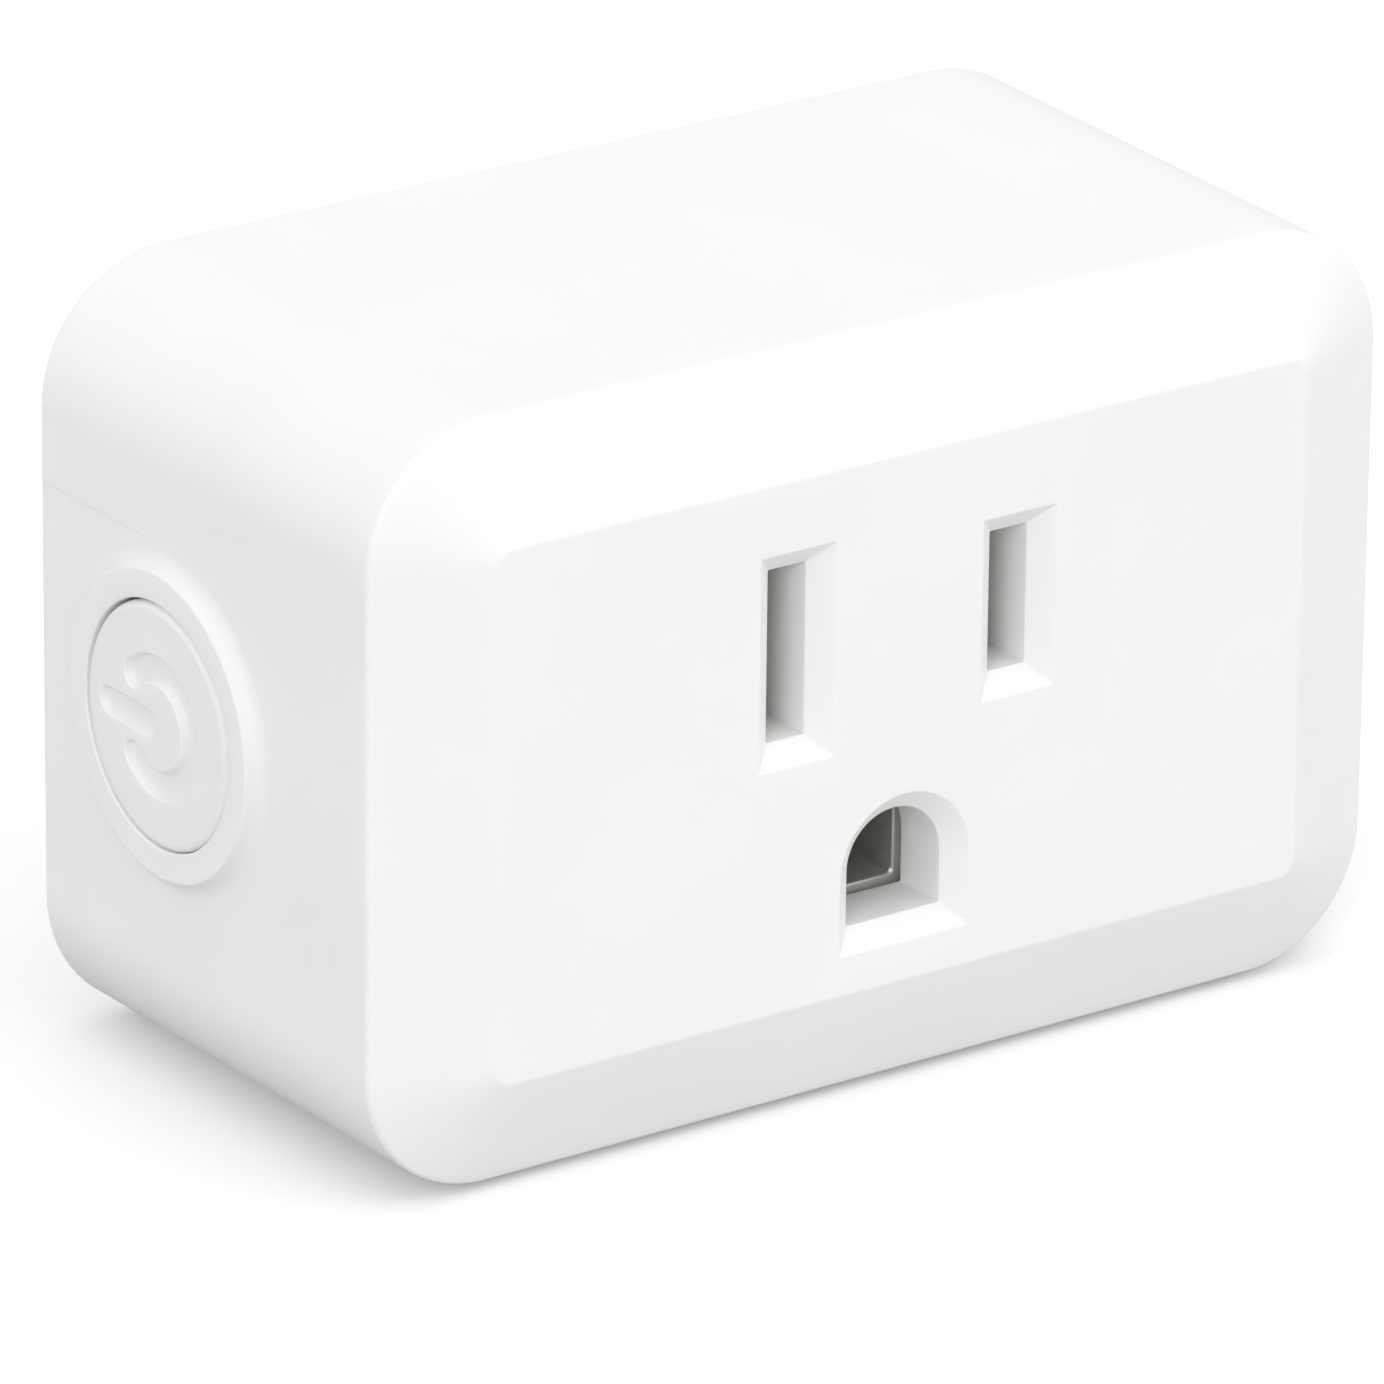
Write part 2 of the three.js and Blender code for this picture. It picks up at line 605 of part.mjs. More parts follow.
const GROUND_FLOOR_Z = GROUND_Z - PIN_RADIUS;
function groundContact() {
  const front = CARRIER_FRONT_Y + ROOM;
  const rear = CARRIER_REAR_Y - 2 * ROOM;
  const middle = front + LEAF_TO_PINCH;
  const inner = GROUND_OPENING_RADIUS - LEAF_INSIDE_OPENING;
  const grip = PIN_RADIUS - LEAF_GRIP;
  const leaf = (side) =>
    prism(
      [
        [side * (inner + SHEET), rear],
        [side * inner, rear],
        [side * grip, middle],
        [side * inner, front],
        [side * (inner + SHEET), front],
        [side * (grip + SHEET), middle],
      ],
      "z",
      GROUND_FLOOR_Z - SHEET / 2,
      GROUND_Z + PIN_RADIUS * 0.8,
    );
  const floor = block(
    [-inner - SHEET, front, GROUND_FLOOR_Z - SHEET],
    [inner + SHEET, rear, GROUND_FLOOR_Z],
  );
  const tail = block(
    [-TAB_HEIGHT, rear - 1, GROUND_FLOOR_Z - SHEET],
    [TAB_HEIGHT, STRAP_FRONT_Y + SHEET - FIT, GROUND_FLOOR_Z],
  );
  return joined(leaf(1), leaf(-1), floor, tail);
}
place("ground_contact", groundContact(), NICKEL);

function groundStrap() {
  const half = TAB_HEIGHT + STRAP_MARGIN;
  const plate = block(
    [-half, STRAP_FRONT_Y, GROUND_FLOOR_Z - SHEET - STRAP_MARGIN],
    [half, STRAP_FRONT_Y + SHEET, GROUND_Z + RIVET_RADIUS + STRAP_MARGIN],
  );
  const slot = block(
    [-TAB_HEIGHT - HOLE_FIT, STRAP_FRONT_Y - 1, GROUND_FLOOR_Z - SHEET - HOLE_FIT],
    [TAB_HEIGHT + HOLE_FIT, STRAP_FRONT_Y + 1 + SHEET, GROUND_FLOOR_Z + HOLE_FIT],
  );
  return cut(plate, slot, rodY(RIVET_RADIUS + HOLE_FIT, STRAP_FRONT_Y - 1, STRAP_FRONT_Y + 2, 0, GROUND_Z));
}
place("ground_strap", groundStrap(), COPPER);

function contactCarrier() {
  const over = 1;
  const floor = CARRIER_REAR_Y - CARRIER_REAR_WALL;
  const body = block(
    [-CARRIER_X, CARRIER_FRONT_Y, CARRIER_BOTTOM_Z],
    [CARRIER_X, CARRIER_REAR_Y, CARRIER_TOP_Z],
  );
  const pocket = (x) =>
    block(
      [x - POCKET_HALF_WIDTH, CARRIER_FRONT_Y - over, -POCKET_HALF_HEIGHT],
      [x + POCKET_HALF_WIDTH, floor, POCKET_HALF_HEIGHT],
    );
  const tailSlot = (x) =>
    block(
      [x - SHEET / 2 - HOLE_FIT, floor - over, TAB_OFFSET - TAB_HEIGHT / 2 - HOLE_FIT],
      [x + SHEET / 2 + HOLE_FIT, CARRIER_REAR_Y + over, TAB_OFFSET + TAB_HEIGHT / 2 + HOLE_FIT],
    );
  const groundPocket = block(
    [-GROUND_POCKET, CARRIER_FRONT_Y - over, GROUND_Z - GROUND_POCKET],
    [GROUND_POCKET, CARRIER_REAR_Y + over, GROUND_Z + GROUND_POCKET],
  );
  return cut(body, pocket(LINE_X), pocket(NEUTRAL_X), tailSlot(LINE_X), tailSlot(NEUTRAL_X), groundPocket);
}
place("contact_carrier", contactCarrier(), CARRIER_GREY);

// ---- relay: everything in it is set out from its own box, in the bay to the right of the carrier

const relay = {
  x0: CARRIER_X + ROOM,
  x1: INNER_X - ROOM,
  z0: CENTRE_Z - POST_DZ + POST_RADIUS + RELAY_END_CLEARANCE,
  z1: CENTRE_Z + POST_DZ - POST_RADIUS - RELAY_END_CLEARANCE,
};
relay.xc = (relay.x0 + relay.x1) / 2;
relay.half = (relay.x1 - relay.x0) / 2 - RELAY_WALL - ROOM;
relay.yokeZ = relay.z0 + RELAY_WALL + ROOM;
relay.endZ = relay.z1 - RELAY_WALL - ROOM;
relay.coilSpace = relay.endZ - relay.yokeZ - YOKE_THICKNESS - 2 * ROOM - CONTACT_ZONE;
relay.coilHalf = Math.min(relay.half, relay.coilSpace / 2);
relay.coilZ = relay.yokeZ + YOKE_THICKNESS + ROOM + relay.coilHalf;
relay.ironHalf = relay.coilHalf - 1;
relay.pinZ = relay.coilZ - relay.coilHalf + 2 * LEAD_RADIUS;

// Heights above the main board, turned into y
const above = (height) => BOARD_FRONT_Y - height;
const RELAY_HEIGHT = BOARD_FRONT_Y - EDGE_Y - BEVEL_DEPTH - RELAY_HEADROOM;
const FOOT = RELAY_BASE + 2 * FIT;
const COIL_BOTTOM = FOOT + YOKE_THICKNESS + FIT;
const SPRING_BOTTOM = RELAY_HEIGHT - RELAY_WALL - SPRING_HEADROOM - SPRING_THICKNESS;
const ARMATURE_BOTTOM = SPRING_BOTTOM - FIT - ARMATURE_THICKNESS;
const CORE_TOP = ARMATURE_BOTTOM - CORE_GAP;
const COIL_TOP = CORE_TOP - FIT;
const MOVING_CONTACT_BOTTOM = ARMATURE_BOTTOM - FIT;
const FIXED_CONTACT_TOP = MOVING_CONTACT_BOTTOM - RELAY_CONTACT_GAP;
const FIXED_CONTACT_HEIGHT = 0.5;

const relayPins = {
  common: [relay.xc, relay.yokeZ + YOKE_THICKNESS / 2],
  fixed: [relay.xc, relay.endZ - YOKE_THICKNESS / 2],
  coilLeft: [relay.xc - relay.coilHalf + 2 * LEAD_RADIUS, relay.pinZ],
  coilRight: [relay.xc + relay.coilHalf - 2 * LEAD_RADIUS, relay.pinZ],
};
// A pin or lead that starts inside its piece and goes through the main board
const lead = ([x, z], height, radius = LEAD_RADIUS) =>
  rodY(radius, above(height), BOARD_REAR_Y + LEAD_PAST_BOARD, x, z, 8);

const caseTop = above(RELAY_HEIGHT);
place(
  "relay_case",
  cut(
    block([relay.x0, caseTop, relay.z0], [relay.x1, above(ROOM), relay.z1]),
    block(
      [relay.x0 + RELAY_WALL, caseTop + RELAY_WALL, relay.z0 + RELAY_WALL],
      [relay.x1 - RELAY_WALL, above(ROOM) + 1, relay.z1 - RELAY_WALL],
    ),
  ),
  RELAY_BLUE,
);

place(
  "relay_base",
  cut(
    block(
      [relay.x0 + RELAY_WALL + FIT, above(RELAY_BASE), relay.z0 + RELAY_WALL + FIT],
      [relay.x1 - RELAY_WALL - FIT, above(FIT), relay.z1 - RELAY_WALL - FIT],
    ),
    ...Object.values(relayPins).map(([x, z]) =>
      rodY(2 * LEAD_RADIUS, above(RELAY_BASE + 1), above(-1), x, z, 12),
    ),
  ),
  RELAY_BASE_BLUE,
);

place(
  "relay_yoke",
  joined(
    block(
      [relay.xc - CORE_RADIUS - 1, above(FOOT), relay.yokeZ],
      [relay.xc + CORE_RADIUS + 1, above(FOOT + YOKE_THICKNESS), relay.coilZ + CORE_RADIUS + 1],
    ),
    block(
      [relay.xc - relay.ironHalf, above(FOOT), relay.yokeZ],
      [relay.xc + relay.ironHalf, above(CORE_TOP + CORE_GAP - HOLE_FIT), relay.yokeZ + YOKE_THICKNESS],
    ),
    rodY(CORE_RADIUS, above(FOOT + 0.5), above(CORE_TOP), relay.xc, relay.coilZ),
    lead(relayPins.common, FOOT + 0.5, 1.5 * LEAD_RADIUS),
  ),
  STEEL,
);

const bobbinFlange = (height) =>
  block(
    [relay.xc - relay.coilHalf, above(height), relay.coilZ - relay.coilHalf],
    [relay.xc + relay.coilHalf, above(height + 0.8), relay.coilZ + relay.coilHalf],
  );
place(
  "relay_coil",
  cut(
    joined(
      bobbinFlange(COIL_BOTTOM),
      bobbinFlange(COIL_TOP - 0.8),
      rodY(relay.coilHalf - 0.4, above(COIL_BOTTOM + 0.4), above(COIL_TOP - 0.4), relay.xc, relay.coilZ, 32),
      lead(relayPins.coilLeft, COIL_BOTTOM + 0.4),
      lead(relayPins.coilRight, COIL_BOTTOM + 0.4),
    ),
    rodY(CORE_RADIUS + HOLE_FIT, above(COIL_BOTTOM - 1), above(COIL_TOP + 1), relay.xc, relay.coilZ),
  ),
  WINDING,
);

place(
  "relay_armature",
  block(
    [relay.xc - relay.ironHalf, above(ARMATURE_BOTTOM), relay.yokeZ],
    [relay.xc + relay.ironHalf, above(ARMATURE_BOTTOM + ARMATURE_THICKNESS), relay.coilZ + CORE_RADIUS + 1.5],
  ),
  STEEL,
);

const relayContactZ = relay.endZ - CONTACT_ZONE / 2 - RELAY_CONTACT_RADIUS / 2;
const relayStud = (bottom, top) =>
  rodY(RELAY_CONTACT_RADIUS, above(top), above(bottom), relay.xc, relayContactZ, 16);
place(
  "relay_contact_spring",
  joined(
    block(
      [relay.xc - 2, above(SPRING_BOTTOM), relay.yokeZ + 2.5],
      [relay.xc + 2, above(SPRING_BOTTOM + SPRING_THICKNESS), relayContactZ + RELAY_CONTACT_RADIUS + 0.3],
    ),
    relayStud(MOVING_CONTACT_BOTTOM, SPRING_BOTTOM + SPRING_THICKNESS / 2),
  ),
  COPPER,
);

const fixedPlateTop = FIXED_CONTACT_TOP - FIXED_CONTACT_HEIGHT;
place(
  "relay_fixed_contact",
  joined(
    block(
      [relay.xc - 2, above(fixedPlateTop), relayContactZ - RELAY_CONTACT_RADIUS],
      [relay.xc + 2, above(fixedPlateTop - SHEET), relay.endZ],
    ),
    block(
      [relay.xc - 2, above(fixedPlateTop), relay.endZ - YOKE_THICKNESS],
      [relay.xc + 2, above(FOOT), relay.endZ],
    ),
    relayStud(fixedPlateTop - SHEET / 2, FIXED_CONTACT_TOP),
    lead(relayPins.fixed, FOOT + 0.5, 1.5 * LEAD_RADIUS),
  ),
  COPPER,
);

// ---- power supply parts that stand on the main board

// Left bay, under the radio: the large capacitor, clear of the floor and with its leads clear of the peg that
// presses on the board there. Above the carrier: output capacitor and inductor. Below it: absorber and fuse.
const bay = {
  x0: CONTROL_BACK_X + ROOM,
  x1: -CARRIER_X - ROOM,
  z0: FLOOR_Z + ROOM,
  z1: BUTTON_Z - (HEADER_PINS / 2) * HEADER_PITCH - ROOM,
};
const bulk = { radius: Math.min(bay.x1 - bay.x0, bay.z1 - bay.z0) / 2, x: (bay.x0 + bay.x1) / 2 };
bulk.z = Math.max(bay.z0 + bulk.radius, PEG_TOP_Z + LEAD_RADIUS + ROOM);
const attic = { z0: CARRIER_TOP_Z + ROOM, z1: CEILING_Z - ROOM };
const small = { radius: (attic.z1 - attic.z0) / 2, z: (attic.z0 + attic.z1) / 2 };
small.outX = -CARRIER_X / 2;
small.coilX = CARRIER_X / 2;
const cellar = { z0: FLOOR_Z + ROOM, z1: CARRIER_BOTTOM_Z - ROOM };
cellar.z = (cellar.z0 + cellar.z1) / 2;
cellar.half = (cellar.z1 - cellar.z0) / 2;

const pair = (x, z, half) => [
  [x - half, z],
  [x + half, z],
];
const BULK_BELOW_RELAY = 1.2;
const VARISTOR_X = -CARRIER_X / 2;
const VARISTOR_RADIUS = 3.6;
const FUSE_X = CARRIER_X / 2;
const FUSE_HALF_LENGTH = 2.6;
const FUSE_RADIUS = 1.4;
const FUSE_WIRE = 0.8;
const leads = {
  bulk: pair(bulk.x, bulk.z, 1.75),
  output: pair(small.outX, small.z, 1.0),
  inductor: pair(small.coilX, small.z, 1.25),
  varistor: pair(VARISTOR_X, cellar.z, 2.5),
  fuse: pair(FUSE_X, cellar.z, FUSE_HALF_LENGTH + FUSE_WIRE),
};

// A can capacitor: a sleeve with a rolled groove near its base and a rounded top rim
function capacitor(radius, height, x, z, wires) {
  const groove = 1.6;
  const can = turnedY(
    [
      [above(height), 0],
      [above(height), radius - 0.5],
      [above(height - 0.5), radius],
      [above(groove + 0.8), radius],
      [above(groove), radius - 0.3],
      [above(groove - 0.6), radius],
      [above(FIT), radius],
      [above(FIT), 0],
    ],
    x,
    z,
  );
  return joined(can, ...wires.map((spot) => lead(spot, 1)));
}
const bulkHeight = RELAY_HEIGHT - BULK_BELOW_RELAY;
place("bulk_capacitor", capacitor(bulk.radius, bulkHeight, bulk.x, bulk.z, leads.bulk), SLEEVE_BLACK);
place("output_capacitor", capacitor(small.radius, 10, small.outX, small.z, leads.output), SLEEVE_BLACK);

function inductor() {
  const height = 8.5;
  const rim = 1.1;
  const waist = small.radius - 0.5;
  const drum = turnedY(
    [
      [above(height), 0],
      [above(height), small.radius],
      [above(height - rim), small.radius],
      [above(height - rim), waist],
      [above(rim), waist],
      [above(rim), small.radius],
      [above(FIT), small.radius],
      [above(FIT), 0],
    ],
    small.coilX,
    small.z,
  );
  return joined(drum, ...leads.inductor.map((spot) => lead(spot, 0.8)));
}
place("power_inductor", inductor(), BLACK);

function varistor() {
  const centreY = above(VARISTOR_RADIUS + 1);
  const disc = rodZ(VARISTOR_RADIUS, cellar.z - cellar.half, cellar.z + cellar.half, VARISTOR_X, centreY, 28);
  return joined(disc, ...leads.varistor.map((spot) => lead(spot, VARISTOR_RADIUS)));
}
place("surge_absorber", varistor(), VARISTOR_BLUE);

function fuseResistor() {
  const height = FUSE_RADIUS + 1.2;
  const along = (half, radius, sides) =>
    rodX(radius, FUSE_X - half, FUSE_X + half, above(height), cellar.z, sides);
  const body = along(FUSE_HALF_LENGTH, FUSE_RADIUS, 20);
  const wire = along(FUSE_HALF_LENGTH + FUSE_WIRE, LEAD_RADIUS, 8);
  return joined(body, wire, ...leads.fuse.map((spot) => lead(spot, height)));
}
place("fuse_resistor", fuseResistor(), FUSE_GREEN);

// ---- chips on the rear of the main board, to the left and right of the leads above the carrier

function chip(x, halfX, halfZ, height, legs) {
  const z = small.z;
  const legZ = halfZ + 0.8;
  const body = block(
    [x - halfX, BOARD_REAR_Y + 0.15, z - halfZ],
    [x + halfX, BOARD_REAR_Y + 0.15 + height, z + halfZ],
  );
  const pitch = (2 * halfX) / legs;
  const feet = Array.from({ length: legs }, (_, k) =>
    block(
      [x - halfX + pitch * (k + 0.3), BOARD_REAR_Y + FIT, z - legZ],
      [x - halfX + pitch * (k + 0.7), BOARD_REAR_Y + 0.45, z + legZ],
    ),
  );
  return joined(body, ...feet);
}
place("bridge_rectifier", chip(CARRIER_X, 2.35, 1.9, 1.4, 2), BLACK);
place("regulator_chip", chip(-CARRIER_X, 2.45, 1.95, 1.4, 4), BLACK);

// ---- main board

const boardHalfX = INNER_X - BOARD_EDGE_GAP;
const boardHalfZ = INNER_Z - BOARD_EDGE_GAP;
const headerX = CONTROL_BACK_X + FIT + HEADER_PITCH / 2;
const headerSpots = Array.from({ length: HEADER_PINS }, (_, k) => [
  headerX,
  BUTTON_Z + (k - (HEADER_PINS - 1) / 2) * HEADER_PITCH,
]);

function mainBoard() {
  const over = 1;
  const through = ([x0, z0], [x1, z1]) =>
    block([x0, BOARD_FRONT_Y - over, z0], [x1, BOARD_REAR_Y + over, z1]);
  const hole = ([x, z], radius = LEAD_RADIUS) =>
    rodY(radius + HOLE_FIT, BOARD_FRONT_Y - over, BOARD_REAR_Y + over, x, z, 8);
  const notchX = POST_X - POST_RADIUS - ROOM;
  const notchZ = POST_DZ - POST_RADIUS - ROOM;
  const notches = CORNERS.map(([sx, sz]) =>
    through(
      [sx * notchX, CENTRE_Z + sz * notchZ],
      [sx * (boardHalfX + over), CENTRE_Z + sz * (boardHalfZ + over)],
    ),
  );
  const buttonNotch = through(
    [-boardHalfX - over, BUTTON_Z - RING_RADIUS - ROOM],
    [STEM_END_X + BUTTON_TRAVEL + ROOM, BUTTON_Z + RING_RADIUS + ROOM],
  );
  const tabSlot = (x, z, halfX) =>
    through(
      [x - halfX - HOLE_FIT, z - TAB_HEIGHT / 2 - HOLE_FIT],
      [x + halfX + HOLE_FIT, z + TAB_HEIGHT / 2 + HOLE_FIT],
    );
  const plate = block(
    [-boardHalfX, BOARD_FRONT_Y, CENTRE_Z - boardHalfZ],
    [boardHalfX, BOARD_REAR_Y, CENTRE_Z + boardHalfZ],
  );
  return cut(
    plate,
    ...notches,
    buttonNotch,
    ...[LINE_X, NEUTRAL_X].flatMap((x) => [tabSlot(x, -TAB_OFFSET, SHEET), tabSlot(x, TAB_OFFSET, SHEET / 2)]),
    through(
      [-TAB_HEIGHT - HOLE_FIT, GROUND_FLOOR_Z - SHEET - HOLE_FIT],
      [TAB_HEIGHT + HOLE_FIT, GROUND_FLOOR_Z + HOLE_FIT],
    ),
    hole(relayPins.common, 1.5 * LEAD_RADIUS),
    hole(relayPins.fixed, 1.5 * LEAD_RADIUS),
    hole(relayPins.coilLeft),
    hole(relayPins.coilRight),
    ...Object.values(leads).flatMap((spots) => spots.map((spot) => hole(spot))),
    ...headerSpots.map((spot) => hole(spot)),
  );
}
place("main_board", mainBoard(), BOARD_GREEN);

// ---- copper bars on the rear of the main board, each with slots or holes for what is soldered into it

const barY = [BOARD_REAR_Y + FIT, BOARD_REAR_Y + FIT + BAR_THICKNESS];
const BAR_HALF = TAB_HEIGHT / 2 + BAR_MARGIN;
const barSlot = (x, z, halfX) =>
  block(
    [x - halfX - HOLE_FIT, barY[0] - 1, z - TAB_HEIGHT / 2 - HOLE_FIT],
    [x + halfX + HOLE_FIT, barY[1] + 1, z + TAB_HEIGHT / 2 + HOLE_FIT],
  );
const barHole = ([x, z]) => rodY(1.5 * LEAD_RADIUS + HOLE_FIT, barY[0] - 1, barY[1] + 1, x, z, 8);
place(
  "neutral_bar",
  cut(
    block(
      [NEUTRAL_X - BAR_HALF, barY[0], -TAB_OFFSET - BAR_HALF],
      [NEUTRAL_X + BAR_HALF, barY[1], TAB_OFFSET + BAR_HALF],
    ),
    barSlot(NEUTRAL_X, -TAB_OFFSET, SHEET),
    barSlot(NEUTRAL_X, TAB_OFFSET, SHEET / 2),
  ),
  COPPER,
);
// A line bar runs along from its tab and then up (side 1) or down (side -1) to its relay pin
function lineBar(side, [pinX, pinZ], tabHalfX) {
  const inner = side * (TAB_OFFSET - TAB_HEIGHT / 2 - BAR_INNER_MARGIN);
  const outer = side * (TAB_OFFSET + BAR_HALF);
  const end = side * (Math.max(TAB_OFFSET, side * pinZ) + BAR_HALF);
  const outline = [
    [LINE_X - BAR_HALF, inner],
    [pinX + BAR_HALF, inner],
    [pinX + BAR_HALF, end],
    [pinX - BAR_HALF, end],
    [pinX - BAR_HALF, outer],
    [LINE_X - BAR_HALF, outer],
  ];
  return cut(prism(outline, "y", ...barY), barSlot(LINE_X, side * TAB_OFFSET, tabHalfX), barHole([pinX, pinZ]));
}
place("line_out_bar", lineBar(1, relayPins.fixed, SHEET / 2), COPPER);
place("line_in_bar", lineBar(-1, relayPins.common, SHEET), COPPER);

// ---- push-button: a cap with a debossed on-off symbol, a retaining flange and a stem

function symbolArc() {
  const half = SYMBOL_STROKE / 2;
  const start = THREE.MathUtils.degToRad(SYMBOL_GAP_DEG);
  const end = 2 * Math.PI - start;
  const arc = new THREE.Shape();
  const at = (angle, radius) => [radius * Math.cos(angle), radius * Math.sin(angle)];
  arc.absarc(0, 0, SYMBOL_RADIUS + half, start, end, false);
  arc.absarc(...at(end, SYMBOL_RADIUS), half, end, end + Math.PI, false);
  arc.absarc(0, 0, SYMBOL_RADIUS - half, end, start, true);
  arc.absarc(...at(start, SYMBOL_RADIUS), half, start + Math.PI, start + 2 * Math.PI, false);
  return arc;
}
function symbolBar() {
  const half = SYMBOL_STROKE / 2;
  const near = half;
  const bar = new THREE.Shape();
  bar.absarc(SYMBOL_BAR_END, 0, half, -Math.PI / 2, Math.PI / 2, false);
  bar.absarc(near, 0, half, Math.PI / 2, (3 * Math.PI) / 2, false);
  return bar;
}
function buttonCap() {
  const edge = 0.3;
  const face = RING_X;
  const skirtInner = BUTTON_RADIUS - BUTTON_SKIRT;
  const body = turnedX(
    [
      [face, 0],
      [face, BUTTON_RADIUS - edge],
      [face + edge * 0.3, BUTTON_RADIUS - edge * 0.3],
      [face + edge, BUTTON_RADIUS],
      [FLANGE_X, BUTTON_RADIUS],
      [FLANGE_X, BUTTON_RADIUS + BUTTON_FLANGE],
      [FLANGE_X + BUTTON_FLANGE_THICKNESS, BUTTON_RADIUS + BUTTON_FLANGE],
      [FLANGE_X + BUTTON_FLANGE_THICKNESS, skirtInner],
      [face + BUTTON_FACE_THICKNESS, skirtInner],
      [face + BUTTON_FACE_THICKNESS, STEM_RADIUS],
      [STEM_END_X, STEM_RADIUS],
      [STEM_END_X, 0],
    ],
    BUTTON_Y,
    BUTTON_Z,
  );
  const grooves = [symbolArc(), symbolBar()].map((shape) =>
    prism(shape, "x", face - 1, face + SYMBOL_DEPTH).translate([0, BUTTON_Y, BUTTON_Z]),
  );
  return cut(body, ...grooves);
}
place("button_cap", buttonCap(), WHITE_CAP);

// ---- tactile switch, status light and the boards of the radio

const pocketDepth = PLUNGER_FLANGE_THICKNESS + BUTTON_TRAVEL + HOLE_FIT;
const switchPlateX = SWITCH_TOP_X + SWITCH_PLATE;
place(
  "switch_base",
  cut(
    block(
      [switchPlateX + FIT, BUTTON_Y - SWITCH_SIZE / 2, BUTTON_Z - SWITCH_SIZE / 2],
      [SWITCH_BOTTOM_X, BUTTON_Y + SWITCH_SIZE / 2, BUTTON_Z + SWITCH_SIZE / 2],
    ),
    rodX(
      PLUNGER_RADIUS + PLUNGER_FLANGE + HOLE_FIT,
      switchPlateX - 1,
      switchPlateX + 2 * FIT + pocketDepth,
      BUTTON_Y,
      BUTTON_Z,
    ),
  ),
  BLACK,
);
place(
  "switch_plate",
  cut(
    block(
      [SWITCH_TOP_X, BUTTON_Y - SWITCH_SIZE / 2, BUTTON_Z - SWITCH_SIZE / 2],
      [switchPlateX, BUTTON_Y + SWITCH_SIZE / 2, BUTTON_Z + SWITCH_SIZE / 2],
    ),
    rodX(PLUNGER_RADIUS + HOLE_FIT, SWITCH_TOP_X - 1, switchPlateX + 1, BUTTON_Y, BUTTON_Z),
  ),
  TIN,
);
place(
  "switch_plunger",
  turnedX(
    [
      [PLUNGER_X, 0],
      [PLUNGER_X, PLUNGER_RADIUS - 0.2],
      [PLUNGER_X + 0.2, PLUNGER_RADIUS],
      [switchPlateX + FIT, PLUNGER_RADIUS],
      [switchPlateX + FIT, PLUNGER_RADIUS + PLUNGER_FLANGE],
      [switchPlateX + FIT + PLUNGER_FLANGE_THICKNESS, PLUNGER_RADIUS + PLUNGER_FLANGE],
      [switchPlateX + FIT + PLUNGER_FLANGE_THICKNESS, 0],
    ],
    BUTTON_Y,
    BUTTON_Z,
    24,
  ),
  BLACK,
);

const LED_Z = BUTTON_Z + SWITCH_SIZE / 2 + LED_ABOVE_SWITCH;
// A layer of the light: half its length, and its two distances from the board
const ledLayer = (halfLength, near, far) =>
  block(
    [CONTROL_X - far, BUTTON_Y - halfLength, LED_Z - LED_HALF_WIDTH],
    [CONTROL_X - near, BUTTON_Y + halfLength, LED_Z + LED_HALF_WIDTH],
  );
place("status_led", joined(ledLayer(1.6, FIT, 0.45), ledLayer(1.0, 0.35, 1.15)), LED_CLEAR);

const controlFrontY = EDGE_Y + 4;
place(
  "control_board",
  block(
    [CONTROL_X, controlFrontY, BUTTON_Z - CONTROL_BOARD_HEIGHT / 2],
    [CONTROL_BACK_X, BOARD_FRONT_Y - FIT, BUTTON_Z + CONTROL_BOARD_HEIGHT / 2],
  ),
  BOARD_GREEN,
);

place(
  "board_header",
  joined(
    block(
      [CONTROL_BACK_X + FIT, above(HEADER_PITCH), headerSpots[0][1] - HEADER_PITCH / 2],
      [CONTROL_BACK_X + FIT + HEADER_PITCH, above(FIT), headerSpots.at(-1)[1] + HEADER_PITCH / 2],
    ),
    ...headerSpots.map((spot) => lead(spot, 0.5)),
  ),
  BLACK,
);

const RADIO_BOARD = 0.8;
const RADIO_HALF_HEIGHT = 7.5;
const radio = {
  x: CONTROL_BACK_X + FIT,
  y0: controlFrontY + 0.5,
  y1: above(HEADER_PITCH + ROOM),
  z: BUTTON_Z + 2,
};
place(
  "radio_board",
  block(
    [radio.x, radio.y0, radio.z - RADIO_HALF_HEIGHT],
    [radio.x + RADIO_BOARD, radio.y1, radio.z + RADIO_HALF_HEIGHT],
  ),
  BOARD_BLUE,
);
const SHIELD_WALL = 0.2;
const SHIELD_HEIGHT = 2.0;
const shield = (inset, low, high) =>
  block(
    [radio.x + RADIO_BOARD + low, radio.y0 + 4 + inset, radio.z - RADIO_HALF_HEIGHT + 1 + inset],
    [radio.x + RADIO_BOARD + high, radio.y1 - 1 - inset, radio.z + RADIO_HALF_HEIGHT - 1 - inset],
  );
place(
  "radio_shield",
  cut(shield(0, FIT, FIT + SHIELD_HEIGHT), shield(SHIELD_WALL, -1, FIT + SHIELD_HEIGHT - SHIELD_WALL)),
  TIN,
);

export default group;
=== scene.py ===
# %% [markdown]
# # A plug-in smart plug
#
# The real object is a small white box that plugs into a wall outlet and carries one outlet on its own
# front. It has a bevelled face, a round push-button in a raised ring on its left side, and two blades
# with a ground pin at the back. The working shape and the joints are already settled in the CAD model.
# This lesson dresses that model: fine shapes for what can be seen, and a finish for every piece.
#
# The frame has its origin midway between the two blades, in the plane of the wall. X runs right for
# someone facing the plug, Y runs into the wall, and Z runs up.

import json
import math

import bmesh
import bpy
from mathutils import Matrix, Vector


